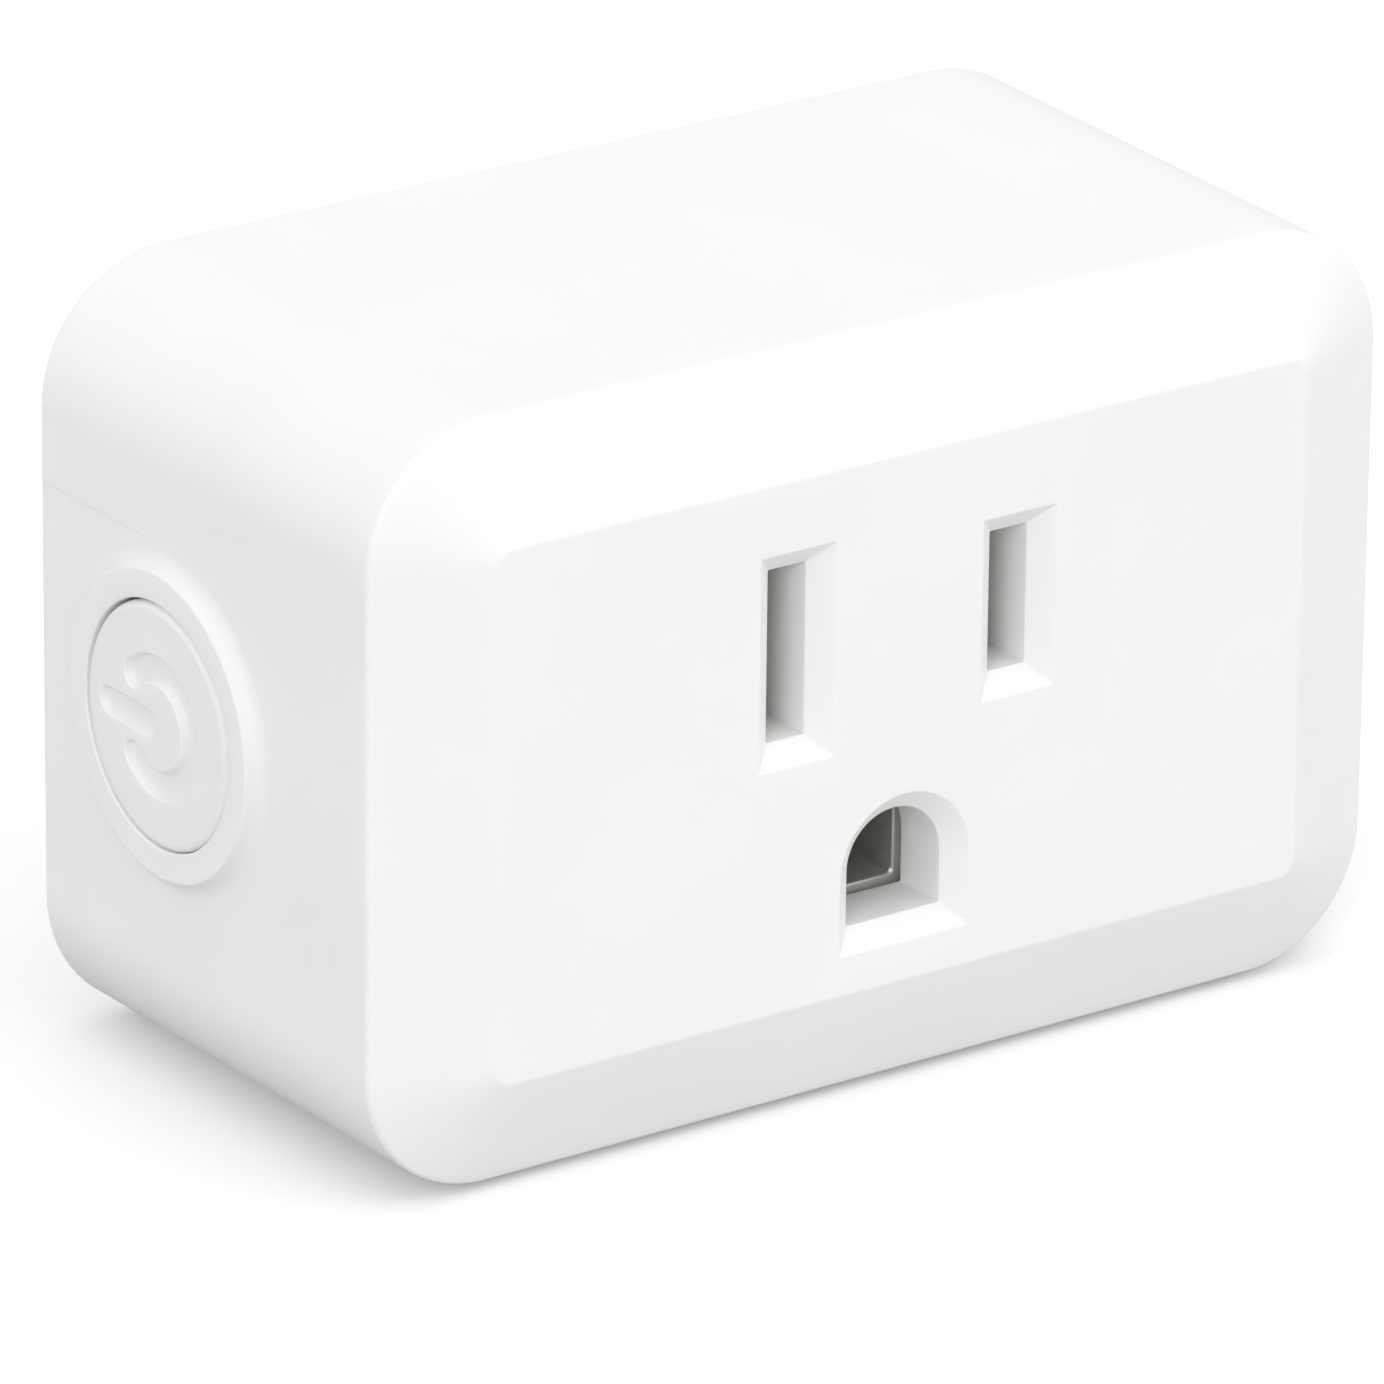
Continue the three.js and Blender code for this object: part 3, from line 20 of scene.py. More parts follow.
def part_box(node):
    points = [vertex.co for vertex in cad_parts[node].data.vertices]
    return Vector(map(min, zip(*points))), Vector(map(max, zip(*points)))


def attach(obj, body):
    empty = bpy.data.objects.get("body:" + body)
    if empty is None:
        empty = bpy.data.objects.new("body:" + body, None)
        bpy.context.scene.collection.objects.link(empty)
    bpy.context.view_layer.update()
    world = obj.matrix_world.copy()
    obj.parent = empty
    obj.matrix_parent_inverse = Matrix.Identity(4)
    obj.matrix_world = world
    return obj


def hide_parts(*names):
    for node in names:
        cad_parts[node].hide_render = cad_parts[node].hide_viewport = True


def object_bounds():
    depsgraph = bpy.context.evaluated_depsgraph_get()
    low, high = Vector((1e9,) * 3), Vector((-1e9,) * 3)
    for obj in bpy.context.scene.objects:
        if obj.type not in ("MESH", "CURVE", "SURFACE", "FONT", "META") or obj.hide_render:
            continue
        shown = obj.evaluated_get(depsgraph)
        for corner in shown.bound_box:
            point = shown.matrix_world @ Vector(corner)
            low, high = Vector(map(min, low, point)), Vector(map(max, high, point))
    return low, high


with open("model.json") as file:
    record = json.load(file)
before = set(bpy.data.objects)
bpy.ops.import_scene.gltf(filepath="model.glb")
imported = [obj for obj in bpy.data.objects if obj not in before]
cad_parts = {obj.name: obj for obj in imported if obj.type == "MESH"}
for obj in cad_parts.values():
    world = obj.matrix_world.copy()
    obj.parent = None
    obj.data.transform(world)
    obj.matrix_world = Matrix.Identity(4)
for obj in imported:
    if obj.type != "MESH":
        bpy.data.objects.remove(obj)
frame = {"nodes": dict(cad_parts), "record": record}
cad_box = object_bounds()
print("CAD box in mm:", [[round(v * 1000, 2) for v in corner] for corner in cad_box])

# %% [markdown]
# ## Sizes
#
# The shapes below are written in millimetres, as on a maker's drawing, and turned into metres when a
# piece is finished. Everything that the frame can tell is read from it, so that the visible shell fits
# the CAD shell exactly. The remaining sizes are those of the drawing: draft, bevel, walls and gaps.

# %% Sizes of the housing
MM = 0.001


def corners_mm(node):
    """Lowest and highest corner of a CAD node, in millimetres."""
    low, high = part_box(node)
    return low / MM, high / MM


shell_low, shell_high = corners_mm("front_housing")
cap_low, cap_high = corners_mm("button_cap")
line_low, line_high = corners_mm("line_blade")
neutral_low, neutral_high = corners_mm("neutral_blade")
pin_low, pin_high = corners_mm("ground_pin")

DRAFT = 0.36
CORNER_RADIUS = 6.6
BEVEL_WIDTH = 5.7
BEVEL_DEPTH = 2.2
WALL = 2.0
FACE_WALL = 2.2
OUTLET_WALL = 4.0

FACE_Y = shell_low.y
EDGE_Y = FACE_Y + BEVEL_DEPTH
REAR_EDGE_Y = shell_high.y
HALF_WIDTH = shell_high.x - DRAFT
HALF_HEIGHT = (shell_high.z - shell_low.z) / 2 - DRAFT
CENTRE_Z = (shell_high.z + shell_low.z) / 2
LINE_X = (line_low.x + line_high.x) / 2
NEUTRAL_X = (neutral_low.x + neutral_high.x) / 2
GROUND_Z = CENTRE_Z - 7.5
print("face at", round(FACE_Y, 2), "half width", round(HALF_WIDTH, 2), "half height", round(HALF_HEIGHT, 2))

# %% [markdown]
# ## Tools for shapes
#
# A moulded part is a few flat faces joined by small rounded edges. Light catches those edges, so they
# decide whether the part looks real. One way is to model sharp boxes and add a Bevel modifier. It is
# quick, but it fails where cuts meet curved walls. Here each profile is drawn with its roundings first,
# and then swept, turned or lofted, so every rounding is exact wherever it goes.

# %% Rounded profiles
ROUNDING_STEPS = 5


def softened(points, radii, steps=ROUNDING_STEPS):
    """A flat polyline with each inner corner rounded to its own radius."""
    made = [tuple(points[0])]
    for before, corner, after, radius in zip(points, points[1:], points[2:], radii):
        corner = Vector(corner)
        to_before = (Vector(before) - corner).normalized()
        to_after = (Vector(after) - corner).normalized()
        half_angle = to_before.angle(to_after) / 2
        bisector = (to_before + to_after).normalized()
        centre = corner + bisector * (radius / math.sin(half_angle))
        start = corner + to_before * (radius / math.tan(half_angle)) - centre
        end = corner + to_after * (radius / math.tan(half_angle)) - centre
        for step in range(steps + 1):
            made.append(tuple(centre + start.slerp(end, step / steps) * radius))
    made.append(tuple(points[-1]))
    return made


def soft_polygon(points, radius, steps=3):
    """A closed outline with all its corners rounded."""
    ring = [points[-1], *points, points[0]]
    return softened(ring, [radius] * len(points), steps)[1:-1]


print("a rounded square corner has", len(softened([(0, 1), (0, 0), (1, 0)], [0.2])), "points")

# %% [markdown]
# Three makers cover every piece here. A loft skins through sections, as a moulding or a stamping needs.
# A turned body spins a profile, for screws, pins and round holes. A block is for plain tabs and pads.

# %% Lofts, turned bodies and blocks
def loft(rings):
    """A closed solid skinned through rings of equal length."""
    bm = bmesh.new()
    rows = [[bm.verts.new(point) for point in ring] for ring in rings]
    count = len(rows[0])
    for row, next_row in zip(rows, rows[1:]):
        for i in range(count):
            j = (i + 1) % count
            bm.faces.new((row[i], row[j], next_row[j], next_row[i]))
    bm.faces.new(rows[0])
    bm.faces.new(rows[-1])
    bmesh.ops.recalc_face_normals(bm, faces=bm.faces)
    return bm


def turned(axis, centre, profile, segments=96):
    """A closed body turned about an axis; the profile is (along, radius) pairs from pole to pole."""
    bm = bmesh.new()

    def point(along, radius, turn):
        u = radius * math.cos(turn)
        v = radius * math.sin(turn)
        if axis == "x":
            return (along, centre[0] + u, centre[1] + v)
        return (centre[0] + u, along, centre[1] + v)

    turns = [2 * math.pi * k / segments for k in range(segments)]
    poles = [bm.verts.new(point(along, 0, 0)) for along, _ in (profile[0], profile[-1])]
    rows = [[bm.verts.new(point(along, radius, t)) for t in turns] for along, radius in profile[1:-1]]
    for i in range(segments):
        j = (i + 1) % segments
        bm.faces.new((poles[0], rows[0][j], rows[0][i]))
        bm.faces.new((poles[1], rows[-1][i], rows[-1][j]))
        for row, next_row in zip(rows, rows[1:]):
            bm.faces.new((row[i], row[j], next_row[j], next_row[i]))
    bmesh.ops.recalc_face_normals(bm, faces=bm.faces)
    return bm


def block(low, high, rounding=0.0, steps=2):
    """A block between two corners, with its edges rounded if asked."""
    bm = bmesh.new()
    size = Vector(high) - Vector(low)
    place = Matrix.Translation((Vector(high) + Vector(low)) / 2) @ Matrix.Diagonal((*size, 1))
    bmesh.ops.create_cube(bm, size=1, matrix=place)
    if rounding:
        bmesh.ops.bevel(
            bm, geom=bm.edges[:], offset=rounding, segments=steps, profile=0.5, affect="EDGES"
        )
    return bm


def gathered(parts):
    """Several separate solids in one mesh."""
    whole = bmesh.new()
    for part in parts:
        lump = bpy.data.meshes.new("lump")
        part.to_mesh(lump)
        part.free()
        whole.from_mesh(lump)
        bpy.data.meshes.remove(lump)
    return whole


print("a plain block has", len(block((0, 0, 0), (1, 1, 1)).faces), "faces")

# %% [markdown]
# ## Joining and cutting
#
# Blender's Boolean modifier joins and cuts closed meshes. Its manifold solver is used: the exact solver
# can leave one wide face with several holes in it, and such a face may be filled wrongly when it is cut
# into triangles. The result is baked at once, so no modifier is left on the piece. The tools are cut
# from the same outlines as the body, which keeps every gap between two pieces as it is on the drawing.

# %% Booleans
COLLECTION = bpy.context.scene.collection
WELD_WITHIN = 0.0004


def object_from(bm, name):
    """A scene object holding a bmesh, which is used up."""
    mesh = bpy.data.meshes.new(name)
    bm.to_mesh(mesh)
    bm.free()
    obj = bpy.data.objects.new(name, mesh)
    COLLECTION.objects.link(obj)
    return obj


def baked(obj):
    """The mesh of an object with its modifiers applied."""
    bpy.context.view_layer.update()
    graph = bpy.context.evaluated_depsgraph_get()
    return bpy.data.meshes.new_from_object(obj.evaluated_get(graph), depsgraph=graph)


def combined(body, tools, how):
    """The body with the tools joined on (UNION), cut out (DIFFERENCE) or shared (INTERSECT)."""
    body_obj = object_from(body, "body_lump")
    tool_obj = object_from(gathered(tools), "tool_lump")
    cut = body_obj.modifiers.new("cut", "BOOLEAN")
    cut.operation = how
    cut.solver = "MANIFOLD"
    cut.object = tool_obj
    mesh = baked(body_obj)
    result = bmesh.new()
    result.from_mesh(mesh)
    bmesh.ops.remove_doubles(result, verts=result.verts, dist=WELD_WITHIN)
    bpy.data.meshes.remove(mesh)
    for obj in (body_obj, tool_obj):
        data = obj.data
        bpy.data.objects.remove(obj)
        bpy.data.meshes.remove(data)
    return result


print("joining, cutting and welding within", WELD_WITHIN, "mm are ready")

# %% [markdown]
# Smooth shading would make the flat faces look like pillows. The shading direction at each corner is
# therefore an average weighted by the area of the faces, and the small roundings take up all the turn.
# The areas are measured before the many-sided faces are cut into triangles, so that a broad face keeps its
# full weight however it is cut.

# %% Shading and finished pieces
SMOOTH_BELOW = math.radians(32)
AREA_FLOOR = 1e-9


def shade_by_area(mesh):
    """Shading in which broad faces stay flat and the small roundings between them take up the turn."""
    mesh.shade_smooth()
    limit = math.cos(SMOOTH_BELOW)
    normals = [face.normal.copy() for face in mesh.polygons]
    weights = [value.value**2 for value in mesh.attributes["broad_area"].data]
    faces_at = [[] for _ in mesh.vertices]
    for face in mesh.polygons:
        for vertex in face.vertices:
            faces_at[vertex].append(face.index)
    corner_normals = []
    for face in mesh.polygons:
        own = normals[face.index]
        for vertex in face.vertices:
            total = own * AREA_FLOOR
            for other in faces_at[vertex]:
                if normals[other].dot(own) > limit:
                    total += normals[other] * weights[other]
            corner_normals.append(total.normalized())
    mesh.normals_split_custom_set(corner_normals)
    mesh.attributes.remove(mesh.attributes["broad_area"])


def piece(name, bm, finish, body, node):
    """Turn a millimetre mesh into a shaded piece that stands for a CAD node and rides on its body."""
    broad_area = bm.faces.layers.float.new("broad_area")
    for face in bm.faces:
        face[broad_area] = face.calc_area()
    many_sided = [face for face in bm.faces if len(face.verts) > 4]
    bmesh.ops.triangulate(bm, faces=many_sided, quad_method="BEAUTY", ngon_method="BEAUTY")
    bmesh.ops.scale(bm, vec=(MM, MM, MM), verts=bm.verts)
    shaped = object_from(bm, name)
    mesh = shaped.data
    mesh.materials.clear()
    mesh.materials.append(finish)
    shade_by_area(mesh)
    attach(shaped, body)
    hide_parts(node)
    print(name, "made:", len(mesh.polygons), "faces")
    return shaped


print("broad faces stay flat; edges above", round(math.degrees(SMOOTH_BELOW)), "degrees stay crisp")

# %% [markdown]
# ## Finishes: shared effects
#
# Moulded plastic is never quite flat. The mould is spark eroded, which leaves a fine even grain, and the
# plastic flows and shrinks, which leaves broad shallow waves. A shader node group holds each effect, so
# that every plastic uses the same one with its own scale.

# %% Making node groups
def new_group(name, inputs, outputs):
    """A shader node group with named number inputs and outputs."""
    group = bpy.data.node_groups.new(name, "ShaderNodeTree")
    for label, default in inputs:
        socket = group.interface.new_socket(name=label, in_out="INPUT", socket_type="NodeSocketFloat")
        socket.default_value = default
    for label in outputs:
        group.interface.new_socket(name=label, in_out="OUTPUT", socket_type="NodeSocketFloat")
    entry = group.nodes.new("NodeGroupInput")
    leave = group.nodes.new("NodeGroupOutput")
    return group, entry, leave


def own_coordinates(group):
    """The surface's place in the piece's own frame, so that the effect moves with the piece."""
    return group.nodes.new("ShaderNodeTexCoord").outputs["Object"]


def noise(group, coordinates, scale, detail=2.0, roughness=0.5):
    """A noise texture; its scale is a socket or a number of features to the metre."""
    node = group.nodes.new("ShaderNodeTexNoise")
    node.inputs["Detail"].default_value = detail
    node.inputs["Roughness"].default_value = roughness
    group.links.new(coordinates, node.inputs["Vector"])
    if isinstance(scale, float):
        node.inputs["Scale"].default_value = scale
    else:
        group.links.new(scale, node.inputs["Scale"])
    return node.outputs["Fac"]


def stretched(group, value, low, high, to_low=0.0, to_high=1.0):
    """A value's range from low to high, spread over a new range."""
    node = group.nodes.new("ShaderNodeMapRange")
    node.inputs["From Min"].default_value = low
    node.inputs["From Max"].default_value = high
    node.inputs["To Min"].default_value = to_low
    node.inputs["To Max"].default_value = to_high
    group.links.new(value, node.inputs["Value"])
    return node.outputs["Result"]


def arithmetic(group, how, first, second):
    """A Math node; each operand is a socket or a number."""
    node = group.nodes.new("ShaderNodeMath")
    node.operation = how
    for socket, operand in zip(node.inputs, (first, second)):
        if isinstance(operand, (int, float)):
            socket.default_value = operand
        else:
            group.links.new(operand, socket)
    return node.outputs["Value"]


print("node group helpers ready; groups so far:", len(bpy.data.node_groups))

# %% [markdown]
# The moulded surface mixes two noises for the grain, because one alone looks like sand. Slower noises
# give the waves of the flow, the patches of gloss and the faint drift of tone.

# %% The moulded surface
MOULDED, entry, leave = new_group(
    "moulded_surface",
    [("Grain", 9000.0), ("Flow", 60.0)],
    ["Grain Height", "Flow Height", "Gloss", "Tone"],
)
place_on_piece = own_coordinates(MOULDED)
fine_grain = noise(MOULDED, place_on_piece, entry.outputs["Grain"], detail=3.0, roughness=0.6)
coarse_scale = arithmetic(MOULDED, "MULTIPLY", entry.outputs["Grain"], 0.28)
coarse_grain = noise(MOULDED, place_on_piece, coarse_scale, detail=2.0)
both_grains = arithmetic(MOULDED, "ADD", fine_grain, coarse_grain)
flow = noise(MOULDED, place_on_piece, entry.outputs["Flow"], detail=1.0)
gloss_scale = arithmetic(MOULDED, "MULTIPLY", entry.outputs["Flow"], 6.0)
gloss = noise(MOULDED, place_on_piece, gloss_scale, detail=3.0)
tone_scale = arithmetic(MOULDED, "MULTIPLY", entry.outputs["Flow"], 1.7)
tone = noise(MOULDED, place_on_piece, tone_scale, detail=4.0)
MOULDED.links.new(both_grains, leave.inputs["Grain Height"])
MOULDED.links.new(flow, leave.inputs["Flow Height"])
MOULDED.links.new(stretched(MOULDED, gloss, 0.3, 0.7), leave.inputs["Gloss"])
MOULDED.links.new(stretched(MOULDED, tone, 0.3, 0.7), leave.inputs["Tone"])
print("node group made:", MOULDED.name)

# %% [markdown]
# Metal strip is rolled, drawn and stamped, so its marks run one way. Stretching the coordinates before
# the noise turns round spots into long streaks. The streaks are fine in height and stronger in gloss.

# %% The drawn metal surface
DRAWN, entry, leave = new_group(
    "drawn_metal",
    [("Across X", 5000.0), ("Across Y", 200.0), ("Across Z", 5000.0), ("Blotch", 300.0)],
    ["Streak Height", "Gloss", "Tone"],
)
place_on_piece = own_coordinates(DRAWN)
stretch = DRAWN.nodes.new("ShaderNodeCombineXYZ")
for axis in ("X", "Y", "Z"):
    DRAWN.links.new(entry.outputs["Across " + axis], stretch.inputs[axis])
pulled = DRAWN.nodes.new("ShaderNodeVectorMath")
pulled.operation = "MULTIPLY"
DRAWN.links.new(place_on_piece, pulled.inputs[0])
DRAWN.links.new(stretch.outputs["Vector"], pulled.inputs[1])
streaks = noise(DRAWN, pulled.outputs["Vector"], 1.0, detail=4.0, roughness=0.65)
blotches = noise(DRAWN, place_on_piece, entry.outputs["Blotch"], detail=4.0, roughness=0.6)
both = arithmetic(DRAWN, "ADD", streaks, blotches)
DRAWN.links.new(streaks, leave.inputs["Streak Height"])
DRAWN.links.new(stretched(DRAWN, both, 0.6, 1.4), leave.inputs["Gloss"])
DRAWN.links.new(stretched(DRAWN, blotches, 0.3, 0.7), leave.inputs["Tone"])
print("node group made:", DRAWN.name)

# %% [markdown]
# ## Finishes: the materials
#
# Each material is a Principled shader with its plain numbers set on its own sockets. What changes over
# the surface comes in through links: a colour between two close tones, a roughness between two values,
# and a bump. The whites differ a little, because the shell, the cover and the button are moulded apart.

# %% Building a material
def linear(hex_colour):
    """An sRGB colour such as f2f2f1 as linear RGBA."""
    parts = [int(hex_colour[i : i + 2], 16) / 255 for i in (0, 2, 4)]
    lit = [c / 12.92 if c <= 0.04045 else ((c + 0.055) / 1.055) ** 2.4 for c in parts]
    return (*lit, 1.0)


def plain_finish(name, metallic=0.0, **sockets):
    """A new material, with its node tree and its Principled shader."""
    material = bpy.data.materials.new(name)
    material.use_nodes = True
    tree = material.node_tree
    shader = tree.nodes["Principled BSDF"]
    shader.inputs["Metallic"].default_value = metallic
    for label, value in sockets.items():
        shader.inputs[label.replace("_", " ")].default_value = value
    return material, tree, shader


def effect(tree, group, **values):
    """A shared effect placed in a material with its own values."""
    node = tree.nodes.new("ShaderNodeGroup")
    node.node_tree = group
    for label, value in values.items():
        node.inputs[label.replace("_", " ")].default_value = value
    return node


def colour_between(tree, shader, mask, first, second):
    """Base Color runs between two colours as the mask says."""
    mix = tree.nodes.new("ShaderNodeMix")
    mix.data_type = "RGBA"
    mix.inputs["A"].default_value = linear(first)
    mix.inputs["B"].default_value = linear(second)
    tree.links.new(mask, mix.inputs["Factor"])
    tree.links.new(mix.outputs["Result"], shader.inputs["Base Color"])
    return mix


def bumps(tree, shader, layers):
    """Bump layers in a chain: (height, strength, distance in mm)."""
    last = None
    for height, strength, depth in layers:
        bump = tree.nodes.new("ShaderNodeBump")
        bump.inputs["Strength"].default_value = strength
        bump.inputs["Distance"].default_value = depth * MM
        tree.links.new(height, bump.inputs["Height"])
        if last is not None:
            tree.links.new(last, bump.inputs["Normal"])
        last = bump.outputs["Normal"]
    tree.links.new(last, shader.inputs["Normal"])


print("the white of the shell, in linear light:", [round(part, 3) for part in linear("f0f0ef")[:3]])

# %% [markdown]
# A white plastic housing lets a little light in, which softens its shadows. Subsurface scattering over
# about a millimetre shows that. The shell has the plainest grain, the cover a coarser one, and the cap
# is the smoothest, since fingers press it.

# %% Moulded plastics
def moulded_plastic(name, tones, roughness, grain=9000.0, grain_depth=0.004, flow=60.0, **sockets):
    """Moulded plastic: two close tones, a roughness range and a fine eroded grain."""
    material, tree, shader = plain_finish(name, **sockets)
    surface = effect(tree, MOULDED, Grain=grain, Flow=flow)
    colour_between(tree, shader, surface.outputs["Tone"], *tones)
    rough = stretched(tree, surface.outputs["Gloss"], 0.0, 1.0, *roughness)
    tree.links.new(rough, shader.inputs["Roughness"])
    bumps(
        tree,
        shader,
        [(surface.outputs["Flow Height"], 0.25, 0.25), (surface.outputs["Grain Height"], 0.5, grain_depth)],
    )
    return material


TRANSLUCENT = {
    "Subsurface_Weight": 0.3,
    "Subsurface_Radius": (1.0, 0.96, 0.9),
    "Subsurface_Scale": 1.2 * MM,
    "IOR": 1.48,
}
WHITE_SHELL = moulded_plastic("white_shell_plastic", ("f0f0ef", "f3f3f2"), (0.44, 0.54), **TRANSLUCENT)
WHITE_COVER = moulded_plastic(
    "white_cover_plastic", ("ececea", "f0f0ee"), (0.5, 0.62), grain=7000.0, grain_depth=0.006, **TRANSLUCENT
)
WHITE_CAP = moulded_plastic(
    "white_cap_plastic", ("efefee", "f2f2f1"), (0.38, 0.46), grain=11000.0, grain_depth=0.002, **TRANSLUCENT
)
BLACK_PLASTIC = moulded_plastic("black_plastic", ("191a1b", "242527"), (0.42, 0.58), grain=6000.0)
CARRIER_PLASTIC = moulded_plastic("carrier_plastic", ("cfcfca", "dadad6"), (0.4, 0.55), grain=5000.0)
RELAY_BLUE = moulded_plastic("relay_case_blue", ("2a5a98", "2f64a5"), (0.34, 0.46), grain=12000.0)
RELAY_BASE_BLUE = moulded_plastic("relay_base_blue", ("22497a", "284f86"), (0.45, 0.58), grain=8000.0)
LED_CLEAR = moulded_plastic(
    "led_lens", ("e6e1cb", "eee9d6"), (0.12, 0.22), grain=9000.0, grain_depth=0.001, Transmission_Weight=0.6
)

PLASTICS = (WHITE_SHELL, WHITE_COVER, WHITE_CAP, BLACK_PLASTIC, CARRIER_PLASTIC)
PLASTICS += (RELAY_BLUE, RELAY_BASE_BLUE, LED_CLEAR)
print("plastics made:", [plastic.name for plastic in PLASTICS])

# %% [markdown]
# The metals are nickel on the blades and the pin, spring brass, copper, zinc-coated steel for the screws
# and tin on the cans. The ground contact has a matt plating, which scatters the little light that comes
# in through the arch. Each is the same drawn surface, with its marks turned along the piece.

# %% Metals
def drawn_metal(name, tones, roughness, directions=(5000.0, 200.0, 5000.0), blotch=300.0, depth=0.003):
    """Bare or plated metal whose marks run along one axis."""
    material, tree, shader = plain_finish(name, metallic=1.0)
    surface = effect(
        tree, DRAWN, Across_X=directions[0], Across_Y=directions[1], Across_Z=directions[2], Blotch=blotch
    )
    colour_between(tree, shader, surface.outputs["Tone"], *tones)
    rough = stretched(tree, surface.outputs["Gloss"], 0.0, 1.0, *roughness)
    tree.links.new(rough, shader.inputs["Roughness"])
    bumps(tree, shader, [(surface.outputs["Streak Height"], 0.6, depth)])
    return material


NICKEL = drawn_metal("nickel_plate", ("c6c3bb", "d2cfc8"), (0.18, 0.36))
BRASS = drawn_metal("spring_brass", ("c09a50", "cfae6b"), (0.24, 0.42), (4000.0, 400.0, 4000.0))
CONTACT_PLATE = drawn_metal("matt_contact_plate", ("d8d6d0", "e2e0da"), (0.5, 0.64), depth=0.0012)
COPPER = drawn_metal("copper_strip", ("b8694a", "c97e5b"), (0.26, 0.46), (300.0, 5000.0, 4000.0))
STEEL = drawn_metal("zinc_steel", ("96999d", "a9acb0"), (0.26, 0.44), (3000.0, 3000.0, 600.0))
TIN = drawn_metal("tinned_can", ("bdc0c3", "cbced1"), (0.26, 0.4), (500.0, 3000.0, 4000.0))
METALS = (NICKEL, BRASS, CONTACT_PLATE, COPPER, STEEL, TIN)
print("metals made:", [metal.name for metal in METALS])

# %% [markdown]
# ## The shell
#
# The shell is one moulding with a wall about 2 mm thick. Its sides grow a little towards the rear, so
# that it slides off the mould, and a wide flat bevel frames the outlet face. Its section is a rounded
# rectangle at every depth. The profile, written as depth and growth, runs from the face over the bevel
# and along the side to the rear rim, and back inside. A loft of sections along that profile is a closed
# shell at once, with the small roundings of every edge in it.

# %% Sections of the housing
CORNER_STEPS = 20


def grown(y):
    """How far the side has moved out by draft at depth y."""
    return DRAFT * (y - EDGE_Y) / (REAR_EDGE_Y - EDGE_Y)


def section(y, growth):
    """The rounded rectangle of the housing at depth y, moved out by a growth."""
    radius = CORNER_RADIUS + growth
    half_x = HALF_WIDTH + growth - radius
    half_z = HALF_HEIGHT + growth - radius
    ring = []
    for quarter, (side_x, side_z) in enumerate(((1, 1), (-1, 1), (-1, -1), (1, -1))):
        for step in range(CORNER_STEPS + 1):
            turn = (quarter + step / CORNER_STEPS) * math.pi / 2
            x = side_x * half_x + radius * math.cos(turn)
            z = CENTRE_Z + side_z * half_z + radius * math.sin(turn)
            ring.append((x, y, z))
    return ring


FLAT_MARGIN = 0.3
inside_edge_y = EDGE_Y + BEVEL_DEPTH
shell_profile = softened(
    [
        (FACE_Y, -BEVEL_WIDTH - FLAT_MARGIN),
        (FACE_Y, -BEVEL_WIDTH),
        (EDGE_Y, 0.0),
        (REAR_EDGE_Y, DRAFT),
        (REAR_EDGE_Y, DRAFT - WALL),
        (inside_edge_y, grown(inside_edge_y) - WALL),
        (FACE_Y + FACE_WALL, -BEVEL_WIDTH),
        (FACE_Y + FACE_WALL, -BEVEL_WIDTH - FLAT_MARGIN),
    ],
    [0.55, 0.35, 0.25, 0.2, 0.8, 0.5],
)
shell = loft([section(y, growth) for y, growth in shell_profile])
print("shell rows:", len(shell_profile), "points in a section:", len(section(EDGE_Y, 0.0)))

# %% [markdown]
# Inside are a thick pad behind the three openings and four posts for the screws. They are plain where
# nobody sees them. On the left side a flat ring stands proud round the button, and its foot flares out
# into the side in a hollow curve. The side leans by the draft, so the foot of the ring is sheared to
# follow it.

# %% Ring and guide
BUTTON_RADIUS = 6.0
BUTTON_GAP = 0.12
RING_WIDTH = 1.5
RING_RISE = 0.7
RING_FLARE = 0.85
GUIDE_LENGTH = 1.0
HOLE_RADIUS = BUTTON_RADIUS + BUTTON_GAP
RING_RADIUS = HOLE_RADIUS + RING_WIDTH
RING_X = shell_low.x
SIDE_X = RING_X + RING_RISE
GUIDE_END_X = SIDE_X + WALL + GUIDE_LENGTH
BUTTON_Y = (cap_low.y + cap_high.y) / 2
BUTTON_AXIS = (BUTTON_Y, CENTRE_Z)

FLARE_STEPS = 10
flare = []
for step in range(FLARE_STEPS + 1):
    turn = step / FLARE_STEPS * math.pi / 2
    rise = RING_RISE * (1 - math.sin(turn))
    flare.append((SIDE_X - rise, RING_RADIUS + RING_FLARE * (1 - math.cos(turn))))
ring_rim = softened([(RING_X, 0.0), (RING_X, RING_RADIUS), flare[1]], [0.13])
SINK = 0.012
foot_radius = RING_RADIUS + RING_FLARE + 0.03
ring_profile = ring_rim[:-1] + flare[2:-1] + [
    (SIDE_X + SINK, foot_radius),
    (SIDE_X + WALL / 2, foot_radius),
    (SIDE_X + WALL / 2, RING_RADIUS),
    (GUIDE_END_X, RING_RADIUS),
    (GUIDE_END_X, 0.0),
]
ring = turned("x", BUTTON_AXIS, ring_profile, 128)
for vert in ring.verts:
    if vert.co.x < SIDE_X + WALL / 4:
        side_here = -(HALF_WIDTH + grown(vert.co.y))
        share = min(1.0, (vert.co.x - RING_X) / RING_RISE)
        vert.co.x += (side_here - SIDE_X) * share
print("ring radius", RING_RADIUS, "mm, standing", RING_RISE, "mm proud")

# %% [markdown]
# The pad behind the outlet face is as wide as the contact carrier that seats on it. The posts stop just
# short of the cover, so that the screws pull the cover tight on its seat.

